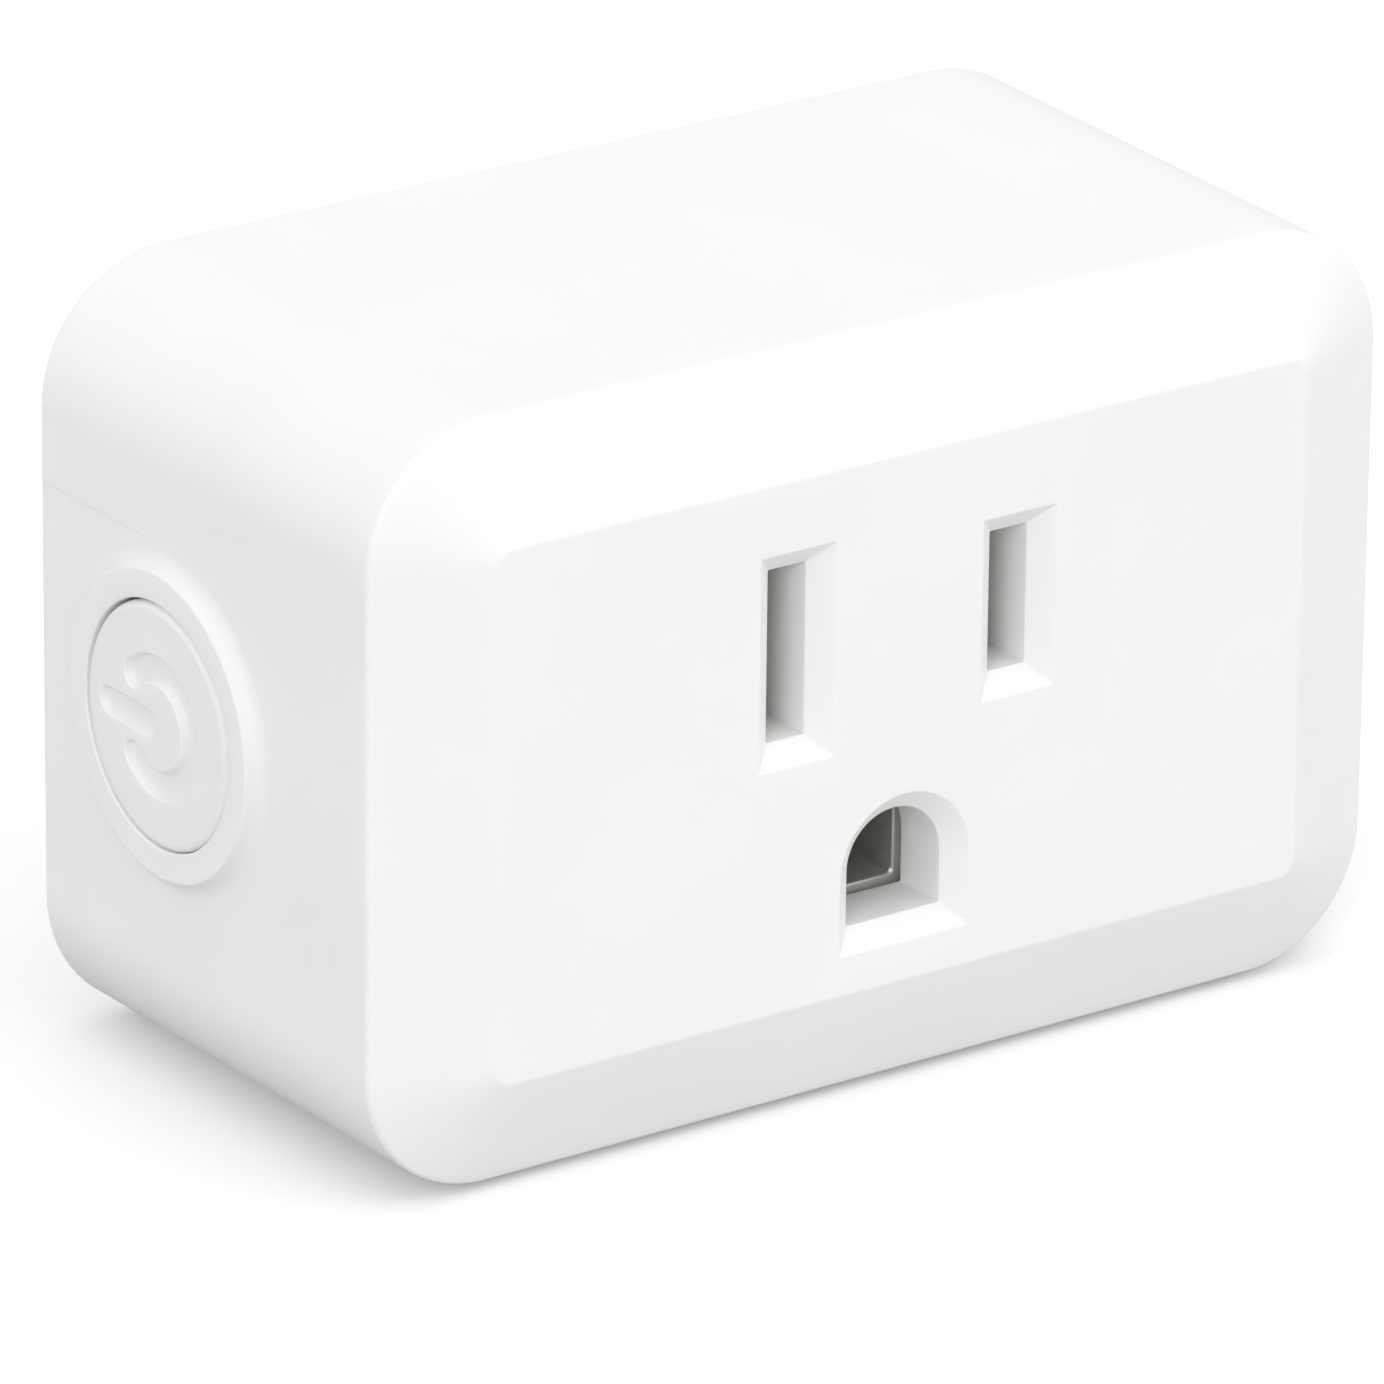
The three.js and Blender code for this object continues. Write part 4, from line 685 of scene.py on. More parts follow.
# %% Pad and posts
POST_RADIUS = 3.4
COVER_THICKNESS = 2.4
COVER_SEAT = 0.05
cover_inner_y = -COVER_THICKNESS
seat_y = cover_inner_y - COVER_SEAT
carrier_low, carrier_high = corners_mm("contact_carrier")
pad = block(
    (carrier_low.x, FACE_Y + FACE_WALL - 1, carrier_low.z),
    (carrier_high.x, FACE_Y + OUTLET_WALL, carrier_high.z),
)
screw_boxes = [corners_mm("cover_screw_%d" % number) for number in (1, 2, 3, 4)]
screw_places = [((low.x + high.x) / 2, (low.z + high.z) / 2) for low, high in screw_boxes]
post_profile = [(EDGE_Y, 0.0), (EDGE_Y, POST_RADIUS), (seat_y, POST_RADIUS), (seat_y, 0.0)]
posts = [turned("y", place, post_profile, 32) for place in screw_places]
shell = combined(shell, [ring, pad, *posts], "UNION")
print("ring, pad and posts joined:", len(shell.faces), "faces")

# %% [markdown]
# ## The openings
#
# Every opening has a chamfer that leads a blade in, and then a straight wall. The chamfer's outer edge
# is barely rounded. Each cutter is a loft again: its outline is the same at each depth, but moved out by
# the chamfer's profile. The third opening is an arch with a flat floor, for the round ground pin.

# %% Outlines of the openings
CHAMFER_WIDTH = 1.05
CHAMFER_DEPTH = 0.95
SLOT_HALF_WIDTH = 1.075
LINE_SLOT_HALF = 3.515
NEUTRAL_SLOT_HALF = 4.31
ARCH_RADIUS = 2.68
ARCH_FLOOR = 2.74
cutter_profile = softened(
    [
        (FACE_Y, CHAMFER_WIDTH + 0.5),
        (FACE_Y, CHAMFER_WIDTH),
        (FACE_Y + CHAMFER_DEPTH, 0.0),
        (FACE_Y + OUTLET_WALL + 0.5, 0.0),
    ],
    [0.1, 0.08],
    4,
)
cutter_profile[0] = (FACE_Y - 0.5, cutter_profile[1][1])


def slot_outline(x, half_height, offset):
    """The outline of a blade slot, moved out by an offset."""
    half_width = SLOT_HALF_WIDTH + offset
    half_height += offset
    points = [(x - half_width, -half_height), (x + half_width, -half_height)]
    points += [(x + half_width, half_height), (x - half_width, half_height)]
    return soft_polygon(points, 0.09)


def arch_outline(offset, steps=40):
    """The outline of the ground opening: a half circle on straight sides with a flat floor."""
    radius = ARCH_RADIUS + offset
    floor = GROUND_Z - ARCH_FLOOR - offset
    arch = []
    for step in range(steps + 1):
        turn = step / steps * math.pi
        arch.append((radius * math.cos(turn), GROUND_Z + radius * math.sin(turn)))
    start = (-radius, GROUND_Z)
    corners = softened([start, (-radius, floor), (radius, floor), (radius, GROUND_Z)], [0.12, 0.12], 4)
    return corners[1:-1] + arch


print("arch has", len(arch_outline(0.0)), "points, each slot", len(slot_outline(0.0, LINE_SLOT_HALF, 0.0)))

# %% [markdown]
# The cutters run from in front of the face to behind the pad. The button's hole is turned, with a small
# rounding at its mouth, and goes right through the ring and its guide.

# %% Cutting the openings
def opening(outline_at):
    """The cutter of one opening."""
    return loft([[(x, y, z) for x, z in outline_at(offset)] for y, offset in cutter_profile])


outlet_cutters = [
    opening(lambda offset: slot_outline(LINE_X, LINE_SLOT_HALF, offset)),
    opening(lambda offset: slot_outline(NEUTRAL_X, NEUTRAL_SLOT_HALF, offset)),
    opening(arch_outline),
]
hole_profile = softened(
    [
        (RING_X, HOLE_RADIUS + 0.6),
        (RING_X, HOLE_RADIUS),
        (GUIDE_END_X + 1, HOLE_RADIUS),
        (GUIDE_END_X + 1, 0.0),
    ],
    [0.1, 0.0001],
)
hole_profile[0] = (RING_X - 1, hole_profile[1][1])
hole_cutter = turned("x", BUTTON_AXIS, [(RING_X - 1, 0.0), *hole_profile], 128)
shell = combined(shell, [*outlet_cutters, hole_cutter], "DIFFERENCE")
print("openings cut:", len(shell.faces), "faces")

# %% [markdown]
# Two small marks finish the shell: the pilot holes in the posts, and the faint witness line that an
# insert of the mould leaves along the left side, above the button.

# %% Pilot holes and witness line
PILOT_RADIUS = 1.1
PILOT_BOTTOM_Y = -11.4
WITNESS_HALF_WIDTH = 0.09
WITNESS_DEPTH = 0.03
pilot_profile = [(PILOT_BOTTOM_Y, 0.0), (PILOT_BOTTOM_Y, PILOT_RADIUS), (1.0, PILOT_RADIUS), (1.0, 0.0)]
pilots = [turned("y", place, pilot_profile, 24) for place in screw_places]
WITNESS_ABOVE_CENTRE = 8.7
witness_z = CENTRE_Z + WITNESS_ABOVE_CENTRE


def witness_section(y):
    """The V of the witness line where it crosses the side at depth y."""
    side_x = -(HALF_WIDTH + min(DRAFT, grown(y)))
    above = (side_x - 0.5, y, witness_z + WITNESS_HALF_WIDTH)
    below = (side_x - 0.5, y, witness_z - WITNESS_HALF_WIDTH)
    return [above, below, (side_x + WITNESS_DEPTH, y, witness_z)]


witness = loft([witness_section(0.0), witness_section(BUTTON_Y + 2.0)])
shell = combined(shell, [*pilots, witness], "DIFFERENCE")
piece("bevelled_shell", shell, WHITE_SHELL, "housing", "front_housing")

# %% [markdown]
# ## The push-button
#
# The cap is a turned cup with a soft rim, a flange that keeps it in the housing, and a stem for the
# switch behind. Its face carries the usual on-off mark, sunk a little, with soft shoulders. The mark is
# cut with a stroke outline that narrows with depth, so its walls slope as a mould needs.

# %% Strokes of the on-off mark
MARK_RADIUS = 2.85
MARK_HALF_STROKE = 0.6
MARK_DEPTH = 0.4
MARK_GAP = math.radians(45)
MARK_BAR_START = 0.75
MARK_BAR_END = 4.1
MARK_TAPER = 0.04
MARK_WIDER_AT_FACE = 0.1


def arc_points(centre, radius, start, end, steps):
    """Points along an arc."""
    turns = [start + (end - start) * k / steps for k in range(steps + 1)]
    return [(centre[0] + radius * math.cos(t), centre[1] + radius * math.sin(t)) for t in turns]


def mark_arc(half):
    """The open ring of the mark: a band with round ends."""
    start = MARK_GAP
    end = 2 * math.pi - MARK_GAP
    start_centre = (MARK_RADIUS * math.cos(start), MARK_RADIUS * math.sin(start))
    end_centre = (MARK_RADIUS * math.cos(end), MARK_RADIUS * math.sin(end))
    outer = arc_points((0, 0), MARK_RADIUS + half, start, end, 60)
    far_end = arc_points(end_centre, half, end, end + math.pi, 12)
    inner = arc_points((0, 0), MARK_RADIUS - half, end, start, 60)
    near_end = arc_points(start_centre, half, start + math.pi, start + 2 * math.pi, 12)
    return outer + far_end[1:-1] + inner + near_end[1:-1]


def mark_bar(half):
    """The straight stroke of the mark."""
    far_end = arc_points((MARK_BAR_END, 0), half, -math.pi / 2, math.pi / 2, 14)
    near_end = arc_points((MARK_BAR_START, 0), half, math.pi / 2, 3 * math.pi / 2, 14)
    return far_end + near_end


print("the mark's ring has", len(mark_arc(MARK_HALF_STROKE)), "points")

# %% [markdown]
# The cap is turned from one profile: face, rim, skirt, flange and stem. Gravity lets it hang a little low
# in its hole, which opens the gap above it and closes it below. The mark is then cut into the face.

# %% The cap
FLANGE_PLAY = 0.1
FLANGE_X = GUIDE_END_X + FLANGE_PLAY
FLANGE_THICKNESS = 0.8
CAP_FACE_THICKNESS = 1.5
STEM_RADIUS = 1.9
STEM_END_X = cap_high.x
CAP_SAG = 0.06
CAP_RADIUS = BUTTON_RADIUS + 0.03
SKIRT_THICKNESS = 1.0
cap_axis = (BUTTON_Y, CENTRE_Z - CAP_SAG)
flange_radius = (cap_high.z - cap_low.z) / 2 - CAP_SAG
skirt_inner = BUTTON_RADIUS - SKIRT_THICKNESS
cap_profile = softened(
    [
        (RING_X, 0.0),
        (RING_X, CAP_RADIUS),
        (FLANGE_X, CAP_RADIUS),
        (FLANGE_X, flange_radius),
        (FLANGE_X + FLANGE_THICKNESS, flange_radius),
        (FLANGE_X + FLANGE_THICKNESS, skirt_inner),
        (RING_X + CAP_FACE_THICKNESS, skirt_inner),
        (RING_X + CAP_FACE_THICKNESS, STEM_RADIUS),
        (STEM_END_X, STEM_RADIUS),
        (STEM_END_X, 0.0),
    ],
    [0.4, 0.1, 0.12, 0.12, 0.1, 0.2, 0.2, 0.25],
)
cap = turned("x", cap_axis, cap_profile, 128)
mark_profile = softened(
    [
        (RING_X, 0.5),
        (RING_X, MARK_WIDER_AT_FACE),
        (RING_X + MARK_DEPTH, -MARK_TAPER),
        (RING_X + MARK_DEPTH, -0.4),
    ],
    [0.14, 0.16],
)
mark_profile[0] = (RING_X - 0.5, mark_profile[1][1])
mark_cutters = [
    loft(
        [
            [(x, cap_axis[0] + u, cap_axis[1] + v) for u, v in stroke(MARK_HALF_STROKE + offset)]
            for x, offset in mark_profile
        ]
    )
    for stroke in (mark_arc, mark_bar)
]
cap = combined(cap, mark_cutters, "DIFFERENCE")
piece("push_button", cap, WHITE_CAP, "button", "button_cap")

# %% [markdown]
# ## The rear: cover, screws, blades and ground pin
#
# The cover is a plate let into the rear of the shell. It has slots for the blades, a hole for the pin,
# and four counterbores for the screws. Stamped blades have edges rounded by tumbling before plating.

# %% The cover plate
COVER_GAP = 0.12
COVER_CHAMFER = 0.6
cover_growth = DRAFT - WALL - COVER_GAP
cover_profile = softened(
    [
        (cover_inner_y, cover_growth - 1.0),
        (cover_inner_y, cover_growth),
        (-COVER_CHAMFER, cover_growth),
        (0.0, cover_growth - COVER_CHAMFER),
        (0.0, cover_growth - COVER_CHAMFER - 0.5),
    ],
    [0.15, 0.2, 0.25],
)
cover = loft([section(y, growth) for y, growth in cover_profile])
print("cover plate:", len(cover.faces), "faces,", COVER_THICKNESS, "mm thick")

# %% [markdown]
# The slots and the pin's hole are a tenth of a millimetre larger than the metal on each side, with a
# small rounding at the mouth. The screws have a counterbore for the head and a plain hole for the shank.

# %% Slots and holes of the cover
BLADE_HALF = 0.75
BLADE_LIP = 0.7
PIN_RADIUS = 2.4
METAL_GAP = 0.1
SCREW_RECESS = 1.3
HEAD_HOLE_RADIUS = 1.8
MOUTH_ROUNDING = 0.15
cut_end_y = cover_inner_y - 1
cover_cut_profile = softened([(0.0, 0.6), (0.0, 0.0), (cut_end_y, 0.0)], [MOUTH_ROUNDING], 4)
cover_cut_profile[0] = (0.5, cover_cut_profile[1][1])


def blade_slot(low, high):
    """A cutter for one blade's slot in the cover."""
    half_x = BLADE_HALF + METAL_GAP
    half_z = (high.z - low.z) / 2 - BLADE_LIP + METAL_GAP
    centre_x = (low.x + high.x) / 2
    rings = []
    for y, offset in cover_cut_profile:
        w = half_x + offset
        h = half_z + offset
        points = [(centre_x - w, -h), (centre_x + w, -h), (centre_x + w, h), (centre_x - w, h)]
        rings.append([(x, y, z) for x, z in soft_polygon(points, 0.12)])
    return loft(rings)


def round_cut(place, radius, end_y):
    """A round cutter from the rear, with a rounded mouth."""
    corners = [(0.0, radius + 0.6), (0.0, radius), (end_y, radius), (end_y, 0.0)]
    profile = softened(corners, [MOUTH_ROUNDING, 0.05], 4)
    profile[0] = (0.5, profile[1][1])
    return turned("y", place, [(0.5, 0.0), *profile], 64)


cover_cutters = [
    blade_slot(line_low, line_high),
    blade_slot(neutral_low, neutral_high),
    round_cut((0.0, GROUND_Z), PIN_RADIUS + METAL_GAP, cut_end_y),
    *[round_cut(place, HEAD_HOLE_RADIUS, -SCREW_RECESS) for place in screw_places],
]
cover = combined(cover, cover_cutters, "DIFFERENCE")
shank_profile = [(-4.0, 0.0), (-4.0, PILOT_RADIUS), (0.5, PILOT_RADIUS), (0.5, 0.0)]
shank_holes = [turned("y", place, shank_profile, 32) for place in screw_places]
cover = combined(cover, shank_holes, "DIFFERENCE")
piece("rear_cover", cover, WHITE_COVER, "housing", "back_cover")

# %% [markdown]
# A cover screw is turned with a low flat head. Its cross recess is cut with two tapered bars, one after
# the other, as a cold-forming punch would press it. The thread is hidden in the post and left plain.

# %% The cover screws
SHANK_RADIUS = 0.95
CROSS_HALF_WIDTH = 0.24
CROSS_REACH = 0.6
CROSS_TAPER = 0.75
CROSS_CORNERS = ((-1, -1), (1, -1), (1, 1), (-1, 1))


def cross_bar(place, half_x, half_z, deep, top):
    """One tapered bar of the punch for a cross recess."""
    x, z = place
    rings = []
    for y, share in ((deep, CROSS_TAPER), (top, 1.0)):
        rings.append([(x + sx * half_x * share, y, z + sz * half_z * share) for sx, sz in CROSS_CORNERS])
    return loft(rings)


for number, (place, (low, high)) in enumerate(zip(screw_places, screw_boxes), start=1):
    top = high.y
    seat = -SCREW_RECESS + COVER_SEAT
    head_radius = (high.x - low.x) / 2
    profile = softened(
        [
            (low.y, 0.0),
            (low.y + 0.8, SHANK_RADIUS),
            (seat, SHANK_RADIUS),
            (seat, head_radius),
            (top, head_radius),
            (top, 0.0),
        ],
        [0.1, 0.05, 0.08, 0.3],
    )
    screw = turned("y", place, profile, 48)
    reach = head_radius * CROSS_REACH
    deep = seat + 0.35
    for half_x, half_z in ((reach, CROSS_HALF_WIDTH), (CROSS_HALF_WIDTH, reach)):
        bar = cross_bar(place, half_x, half_z, deep, top + 0.2)
        screw = combined(screw, [bar], "DIFFERENCE")
    node = "cover_screw_%d" % number
    piece("rear_screw_%d" % number, screw, STEEL, "housing", node)

# %% [markdown]
# A blade is stamped from strip, with its corners cut off at the tip and a hole that a wall contact can
# snap into. Sections across its thickness make it: the outer ones are a little smaller, which rounds the
# edges. A flange behind the cover takes the pull, and a tab below it joins the wiring.

# %% The blades
BLADE_LENGTH = line_high.y
BLADE_TIP = 1.6
HOLE_FROM_TIP = 5.6
BLADE_HOLE_Y = BLADE_LENGTH - HOLE_FROM_TIP
BLADE_HOLE_RADIUS = 1.6
BLADE_EDGE_ROUNDING = 0.22
BLADE_CORNER_ROUNDING = 0.25
TIP_SHARE = 0.41
ROOT_OVERLAP = 0.5
FLANGE_TRIM = 0.02
TAB_HALF_WIDTH = 0.7
TAB_LOW_Z = -3.15
TAB_HIGH_Z = -1.15


def blade(low, high):
    """A stamped blade with rounded edges, a chamfered tip, a hole, and its flange and tab inside."""
    centre_x = (low.x + high.x) / 2
    half_z = (high.z - low.z) / 2 - BLADE_LIP
    faces = [(-BLADE_HALF, -0.6), (-BLADE_HALF, 0.0), (BLADE_HALF, 0.0), (BLADE_HALF, -0.6)]
    edge = softened(faces, [BLADE_EDGE_ROUNDING] * 2, 4)
    rings = []
    for x, grow in edge:
        h = half_z + grow
        tip = BLADE_LENGTH + grow
        cut = BLADE_TIP + grow * TIP_SHARE
        root = cover_inner_y - ROOT_OVERLAP - grow
        outline = [
            (root, -h),
            (tip - cut, -h),
            (tip, -h + cut),
            (tip, h - cut),
            (tip - cut, h),
            (root, h),
        ]
        rings.append([(centre_x + x, y, z) for y, z in soft_polygon(outline, BLADE_CORNER_ROUNDING)])
    body = loft(rings)
    flange_low = (low.x + FLANGE_TRIM, seat_y - BLADE_LIP, low.z)
    flange_high = (high.x - FLANGE_TRIM, seat_y, high.z)
    flange = block(flange_low, flange_high, 0.1)
    tab_low = (centre_x - TAB_HALF_WIDTH, low.y, TAB_LOW_Z)
    tab_high = (centre_x + TAB_HALF_WIDTH, cover_inner_y - 0.4, TAB_HIGH_Z)
    tab = block(tab_low, tab_high, 0.1)
    body = combined(body, [flange], "UNION")
    body = combined(body, [tab], "UNION")
    drill = softened(
        [
            (centre_x - BLADE_HALF, BLADE_HOLE_RADIUS + 0.6),
            (centre_x - BLADE_HALF, BLADE_HOLE_RADIUS),
            (centre_x + BLADE_HALF, BLADE_HOLE_RADIUS),
            (centre_x + BLADE_HALF, BLADE_HOLE_RADIUS + 0.6),
        ],
        [0.15, 0.15],
        4,
    )
    drill[0] = (centre_x - BLADE_HALF - 0.5, drill[1][1])
    drill[-1] = (centre_x + BLADE_HALF + 0.5, drill[-2][1])
    ends = [(drill[0][0], 0.0), *drill, (drill[-1][0], 0.0)]
    return combined(body, [turned("x", (BLADE_HOLE_Y, 0.0), ends, 64)], "DIFFERENCE")


piece("wall_blade_line", blade(line_low, line_high), NICKEL, "housing", "line_blade")
piece("wall_blade_neutral", blade(neutral_low, neutral_high), NICKEL, "housing", "neutral_blade")

# %% [markdown]
# The ground pin is a round bar with a ball nose, so it finds its hole first. A shoulder behind the cover
# holds it, and a thinner end is riveted to the strap.

# %% The ground pin
NOSE_STEPS = 16
PIN_TAIL_RADIUS = 1.4
PIN_SHOULDER = 1.0
pin_flange_radius = (pin_high.x - pin_low.x) / 2
nose = []
for step in range(1, NOSE_STEPS):
    turn = step / NOSE_STEPS * math.pi / 2
    nose.append((pin_high.y - PIN_RADIUS * (1 - math.sin(turn)), PIN_RADIUS * math.cos(turn)))
pin_root = softened(
    [
        (pin_low.y, 0.0),
        (pin_low.y, PIN_TAIL_RADIUS),
        (seat_y - PIN_SHOULDER, PIN_TAIL_RADIUS),
        (seat_y - PIN_SHOULDER, pin_flange_radius),
        (seat_y, pin_flange_radius),
        (seat_y, PIN_RADIUS),
        (pin_high.y - PIN_RADIUS, PIN_RADIUS),
    ],
    [0.2, 0.05, 0.15, 0.15, 0.1],
)
pin = turned("y", (0.0, GROUND_Z), pin_root + nose + [(pin_high.y, 0.0)], 64)
piece("wall_pin_ground", pin, NICKEL, "housing", "ground_pin")

# %% [markdown]
# ## The outlet contacts
#
# A contact is a folded strip of spring metal. Its leaves stand apart at the mouth, close towards a pinch
# and open again, so that a blade is led in and then gripped. The ground contact is a channel, and its
# polished front edges show inside the arch. Real strip has rounded sheared edges, which catch the light.

# %% The ground contact
SHEET = 0.7
contact_low, contact_high = corners_mm("ground_contact")
contact_floor = contact_low.z + SHEET
contact_mouth = contact_high.x - SHEET
contact_rear = carrier_high.y - 0.8
PINCH_FROM_FRONT = 5.5
PIN_GRIP = PIN_RADIUS - 0.1


def channel(y, gap, edge):
    """The section of the ground contact: a floor with two leaves, thinned by an edge rounding."""
    outer = gap + SHEET - edge
    inner = gap + edge
    bottom = contact_low.z + edge
    floor = contact_floor - edge
    top = contact_high.z - edge
    points = [(outer, bottom), (outer, top), (inner, top), (inner, floor)]
    points += [(-inner, floor), (-inner, top), (-outer, top), (-outer, bottom)]
    ring = [points[-1], *points, points[0]]
    radii = [0.5, 0.12, 0.12, 0.22, 0.22, 0.12, 0.12, 0.5]
    return [(x, y, z) for x, z in softened(ring, radii, 4)[1:-1]]


def leaf_gap(y):
    """Half the distance between the leaves at depth y."""
    pinch_y = contact_low.y + PINCH_FROM_FRONT
    reach = PINCH_FROM_FRONT if y < pinch_y else contact_rear - pinch_y
    share = min(1.0, abs(y - pinch_y) / reach)
    return PIN_GRIP + (contact_mouth - PIN_GRIP) * (1 - math.cos(share * math.pi)) / 2


channel_rows = [(contact_low.y, 0.14), (contact_low.y + 0.04, 0.06), (contact_low.y + 0.14, 0.0)]
channel_rows += [(contact_low.y + 0.14 + 0.8 * k, 0.0) for k in range(1, 21)]
channel_rows += [(contact_rear - 0.1, 0.0), (contact_rear, 0.1)]
ground_spring = loft([channel(y, leaf_gap(y), edge) for y, edge in channel_rows])
tail = block((-2.0, contact_rear - 1, contact_low.z), (2.0, contact_high.y, contact_floor), 0.1)
ground_spring = combined(ground_spring, [tail], "UNION")
piece("ground_spring_contact", ground_spring, CONTACT_PLATE, "housing", "ground_contact")


# %% [markdown]
# The blade contacts are strips bent into two leaves that nearly meet. The bent outline is drawn once in
# plan and lifted to the strip's width, and its sheared edges are then bevelled.

# %% The blade contacts
LEAF_PINCH_OUTER = 1.3
LEAF_PINCH_INNER = 0.6
LEAF_HALF_HEIGHT = 3.5
TAIL_HALF = 0.35
TAIL_LOW_Z = 1.15
TAIL_HIGH_Z = 3.15


def blade_spring(node):
    """A folded strip with two sprung leaves, and its tail to the board."""
    low, high = corners_mm(node)
    x = (low.x + high.x) / 2
    half = high.x - x
    front = low.y
    pinch = front + PINCH_FROM_FRONT
    base = carrier_high.y - 1.25
    right = [(half - 0.2, front), (LEAF_PINCH_OUTER, pinch), (half, base)]
    inside = [(half - SHEET, base - SHEET), (LEAF_PINCH_INNER, pinch), (LEAF_PINCH_OUTER, front)]
    points = right + [(-u, v) for u, v in reversed(right)] + [(-u, v) for u, v in reversed(inside)] + inside
    ring = [points[-1], *points, points[0]]
    radii = [0.2, 1.8, 0.6, 0.6, 1.8, 0.2, 0.2, 1.1, 0.1, 0.1, 1.1, 0.2]
    outline = softened(ring, radii, 4)[1:-1]
    strip = loft([[(x + u, v, z) for u, v in outline] for z in (-LEAF_HALF_HEIGHT, LEAF_HALF_HEIGHT)])
    rims = [edge for edge in strip.edges if edge.calc_face_angle() > math.radians(60)]
    bmesh.ops.bevel(strip, geom=rims, offset=0.1, segments=2, profile=0.5, affect="EDGES")
    tail_low = (x - TAIL_HALF, base - TAIL_HALF, TAIL_LOW_Z)
    tail_high = (x + TAIL_HALF, high.y, TAIL_HIGH_Z)
    tail = block(tail_low, tail_high, 0.08)
    return combined(strip, [tail], "UNION")


piece("line_spring_contact", blade_spring("line_contact"), BRASS, "housing", "line_contact")
piece("neutral_spring_contact", blade_spring("neutral_contact"), BRASS, "housing", "neutral_contact")

# %% [markdown]
# ## The pieces inside
#
# The boards, the relay and the power supply are hidden behind the shell, and their CAD shapes are right.
# They stay as they are and get their finishes. Circuit boards are glass cloth under a coloured lacquer,
# so their finish shows a fine weave and darker tracks.

# %% The circuit board surface
LACQUERED, entry, leave = new_group(
    "lacquered_board",
    [("Weave", 1900.0), ("Tracks", 420.0)],
    ["Height", "Track", "Gloss"],
)
place_on_piece = own_coordinates(LACQUERED)
waves = []
for direction in ("X", "Z"):
    wave = LACQUERED.nodes.new("ShaderNodeTexWave")
    wave.bands_direction = direction
    LACQUERED.links.new(place_on_piece, wave.inputs["Vector"])
    LACQUERED.links.new(entry.outputs["Weave"], wave.inputs["Scale"])
    waves.append(wave.outputs["Fac"])
cloth = arithmetic(LACQUERED, "MAXIMUM", waves[0], waves[1])
cells = LACQUERED.nodes.new("ShaderNodeTexVoronoi")
cells.feature = "DISTANCE_TO_EDGE"
LACQUERED.links.new(place_on_piece, cells.inputs["Vector"])
LACQUERED.links.new(entry.outputs["Tracks"], cells.inputs["Scale"])
track = stretched(LACQUERED, cells.outputs["Distance"], 0.08, 0.11)
raised = arithmetic(LACQUERED, "MULTIPLY", track, 2.0)
LACQUERED.links.new(arithmetic(LACQUERED, "ADD", cloth, raised), leave.inputs["Height"])
LACQUERED.links.new(track, leave.inputs["Track"])
LACQUERED.links.new(noise(LACQUERED, place_on_piece, 700.0, detail=3.0), leave.inputs["Gloss"])


def board_lacquer(name, bare, over_copper):
    """Coloured lacquer over glass cloth and copper tracks."""
    material, tree, shader = plain_finish(name)
    surface = effect(tree, LACQUERED)
    colour_between(tree, shader, surface.outputs["Track"], bare, over_copper)
    rough = stretched(tree, surface.outputs["Gloss"], 0.3, 0.7, 0.28, 0.5)
    tree.links.new(rough, shader.inputs["Roughness"])
    bumps(tree, shader, [(surface.outputs["Height"], 0.5, 0.02)])
    return material


BOARD_GREEN = board_lacquer("board_green_lacquer", "174a2e", "1f6038")
BOARD_BLUE = board_lacquer("board_blue_lacquer", "16325a", "1e4276")
print("board finishes:", BOARD_GREEN.name, BOARD_BLUE.name)

# %% [markdown]
# The relay coil and the choke are wound with enamelled copper wire, turn beside turn, so a wave in the
# bump shows the turns. Sleeves, dipped epoxy and cement are plastics in effect, each with its own grain.

# %% Windings, sleeves and coatings
WOUND, entry, leave = new_group("wound_wire", [("Turns", 900.0)], ["Height", "Tone"])
place_on_piece = own_coordinates(WOUND)
turns_of_wire = WOUND.nodes.new("ShaderNodeTexWave")
turns_of_wire.bands_direction = "Z"
turns_of_wire.inputs["Distortion"].default_value = 0.4
WOUND.links.new(place_on_piece, turns_of_wire.inputs["Vector"])
WOUND.links.new(entry.outputs["Turns"], turns_of_wire.inputs["Scale"])
WOUND.links.new(turns_of_wire.outputs["Fac"], leave.inputs["Height"])
WOUND.links.new(noise(WOUND, place_on_piece, 900.0, detail=3.0), leave.inputs["Tone"])


def enamelled_wire(name, tones, turns):
    """Copper wire under clear red-brown enamel, wound side by side."""
    material, tree, shader = plain_finish(name, metallic=0.7, Coat_Weight=0.5, Coat_Roughness=0.15)
    surface = effect(tree, WOUND, Turns=turns)
    colour_between(tree, shader, surface.outputs["Tone"], *tones)
    rough = stretched(tree, surface.outputs["Tone"], 0.3, 0.7, 0.3, 0.45)
    tree.links.new(rough, shader.inputs["Roughness"])
    bumps(tree, shader, [(surface.outputs["Height"], 1.0, 0.12)])
    return material


WINDING = enamelled_wire("enamelled_winding", ("8a3d1c", "a9582c"), 900.0)
SLEEVE_BLACK = moulded_plastic("shrunk_sleeve", ("23232b", "30303a"), (0.25, 0.42), grain=3000.0, flow=180.0)
VARISTOR_BLUE = moulded_plastic(
    "dipped_epoxy_blue", ("2a68a4", "3576b8"), (0.3, 0.5), grain=2500.0, grain_depth=0.02, flow=300.0
)
FUSE_GREEN = moulded_plastic(
    "cement_green", ("56866a", "679a7a"), (0.5, 0.7), grain=4000.0, grain_depth=0.02, flow=300.0
)

print("coatings made:", WINDING.name, SLEEVE_BLACK.name, VARISTOR_BLUE.name, FUSE_GREEN.name)

# %% [markdown]
# The record names a material slot for every node. One table from slot to finish dresses all the pieces
# that stay as the CAD model has them, so no piece can be missed.

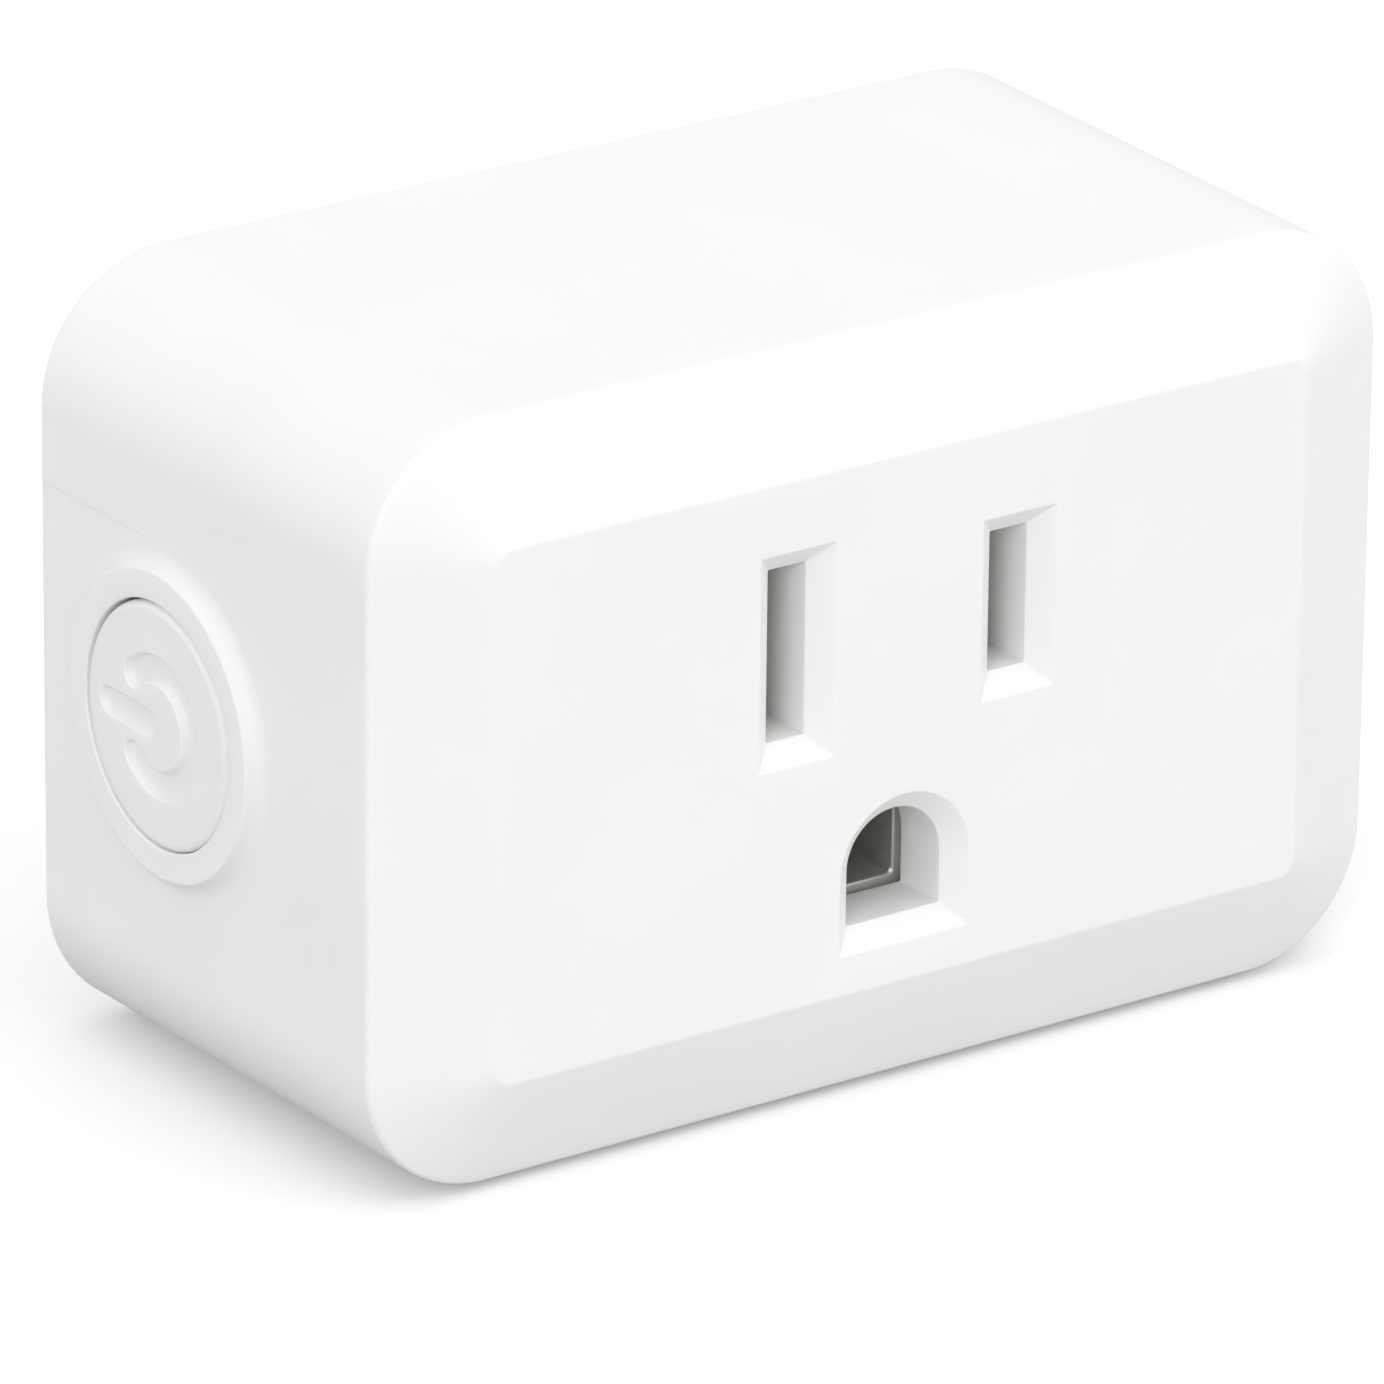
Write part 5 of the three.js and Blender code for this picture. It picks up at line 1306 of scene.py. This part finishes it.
# %% Dressing the carried-over nodes
finish_of_slot = {
    "nickel": NICKEL,
    "brass": BRASS,
    "copper": COPPER,
    "steel": STEEL,
    "tin": TIN,
    "black_plastic": BLACK_PLASTIC,
    "carrier_grey": CARRIER_PLASTIC,
    "board_green": BOARD_GREEN,
    "board_blue": BOARD_BLUE,
    "relay_blue": RELAY_BLUE,
    "relay_base_blue": RELAY_BASE_BLUE,
    "winding": WINDING,
    "sleeve_black": SLEEVE_BLACK,
    "varistor_blue": VARISTOR_BLUE,
    "fuse_green": FUSE_GREEN,
    "led_clear": LED_CLEAR,
    "white_shell": WHITE_SHELL,
    "white_cover": WHITE_COVER,
    "white_cap": WHITE_CAP,
}
slot_of_node = {part["node"]: part["material_slot"] for part in frame["record"]["subparts"]}
for node, obj in frame["nodes"].items():
    obj.data.materials.clear()
    obj.data.materials.append(finish_of_slot[slot_of_node[node]])
print("nodes dressed:", len(frame["nodes"]))

# %% [markdown]
# ## Floor, light and camera
#
# A pale floor and a bright soft room suit a white object: the shapes show only in gentle differences of
# tone. Most of the light is the even room. Two wide lights from the front right and the front left make
# the face a little brighter than the side, and a weak one from overhead lifts the top.
# The floor looks almost white, but throws back less light than it shows, as a matt sheet on a dark bench
# would, so that the undersides stay a little darker.

# %% Floor
floor_z = cad_box[0].z
floor_mesh = bpy.data.meshes.new("studio_floor")
floor_mesh.from_pydata(
    [(-6, -6, floor_z), (6, -6, floor_z), (6, 6, floor_z), (-6, 6, floor_z)], [], [(0, 1, 2, 3)]
)
studio_floor = bpy.data.objects.new("studio_floor", floor_mesh)
COLLECTION.objects.link(studio_floor)
floor_finish, floor_tree, floor_shader = plain_finish("pale_floor", Roughness=0.9)
floor_shader.inputs["Specular IOR Level"].default_value = 0.1
floor_shader.inputs["Emission Color"].default_value = (1.0, 1.0, 1.0, 1.0)
floor_shader.inputs["Emission Strength"].default_value = 0.07
seen_directly = floor_tree.nodes.new("ShaderNodeLightPath").outputs["Is Camera Ray"]
colour_between(floor_tree, floor_shader, seen_directly, "b4b4b4", "fcfcfc")
floor_mesh.materials.append(floor_finish)
print("floor at", round(floor_z / MM, 2), "mm")

# %% [markdown]
# A Sun light with a wide angle is a large soft source far away: its shadows are broad and faint, and it
# lights every side of the object evenly from any view.

# %% Light
ROOM_STRENGTH = 0.79
world = bpy.data.worlds.new("soft_room")
bpy.context.scene.world = world
world.use_nodes = True
world.node_tree.nodes["Background"].inputs["Color"].default_value = (1.0, 1.0, 1.0, 1.0)
world.node_tree.nodes["Background"].inputs["Strength"].default_value = ROOM_STRENGTH
bpy.context.scene.view_settings.view_transform = "Standard"
bpy.context.scene.view_settings.look = "None"


def soft_light(name, direction, strength, spread_deg):
    """A distant light that shines along a direction, spread over an angle."""
    data = bpy.data.lights.new(name, "SUN")
    data.energy = strength
    data.angle = math.radians(spread_deg)
    obj = bpy.data.objects.new(name, data)
    obj.rotation_euler = Vector(direction).to_track_quat("-Z", "Y").to_euler()
    COLLECTION.objects.link(obj)
    return obj


soft_light("right_front_light", (-0.7, 0.7, -0.1), 1.1, 60)
soft_light("left_front_light", (0.70, 0.62, -0.36), 0.87, 20)
soft_light("overhead_light", (0.0, 0.05, -1.0), 0.45, 60)
print("lights made:", len(bpy.data.lights))

# %% [markdown]
# The camera stands well back with a long lens, as for a product picture, so that parallel edges stay
# nearly parallel. It looks down a little from the front left.

# %% Camera
CAMERA_AZIMUTH = math.radians(35.157)
CAMERA_ELEVATION = math.radians(21.921)
CAMERA_ROLL = math.radians(0.592)
CAMERA_DISTANCE = 585.18
CAMERA_LENS = 326.3
AIM_RIGHT = 10.045
AIM_UP = 1.2325
forward = Vector(
    (
        math.sin(CAMERA_AZIMUTH) * math.cos(CAMERA_ELEVATION),
        math.cos(CAMERA_AZIMUTH) * math.cos(CAMERA_ELEVATION),
        -math.sin(CAMERA_ELEVATION),
    )
)
level_right = Vector((math.cos(CAMERA_AZIMUTH), -math.sin(CAMERA_AZIMUTH), 0.0))
level_up = level_right.cross(forward)
camera_right = math.cos(CAMERA_ROLL) * level_right + math.sin(CAMERA_ROLL) * level_up
camera_up = math.cos(CAMERA_ROLL) * level_up - math.sin(CAMERA_ROLL) * level_right
anchor = Vector((0.0, FACE_Y, CENTRE_Z))
camera_place = anchor - forward * CAMERA_DISTANCE - camera_right * AIM_RIGHT + camera_up * AIM_UP
camera_data = bpy.data.cameras.new("product_camera")
camera_data.sensor_width = 36.0
camera_data.lens = CAMERA_LENS
camera_data.clip_end = 50.0
camera = bpy.data.objects.new("product_camera", camera_data)
turn = Matrix((camera_right, camera_up, -forward)).transposed().to_4x4()
camera.matrix_world = Matrix.Translation(camera_place * MM) @ turn
COLLECTION.objects.link(camera)
bpy.context.scene.camera = camera
print("camera at", [round(v) for v in camera_place], "mm with a", CAMERA_LENS, "mm lens")
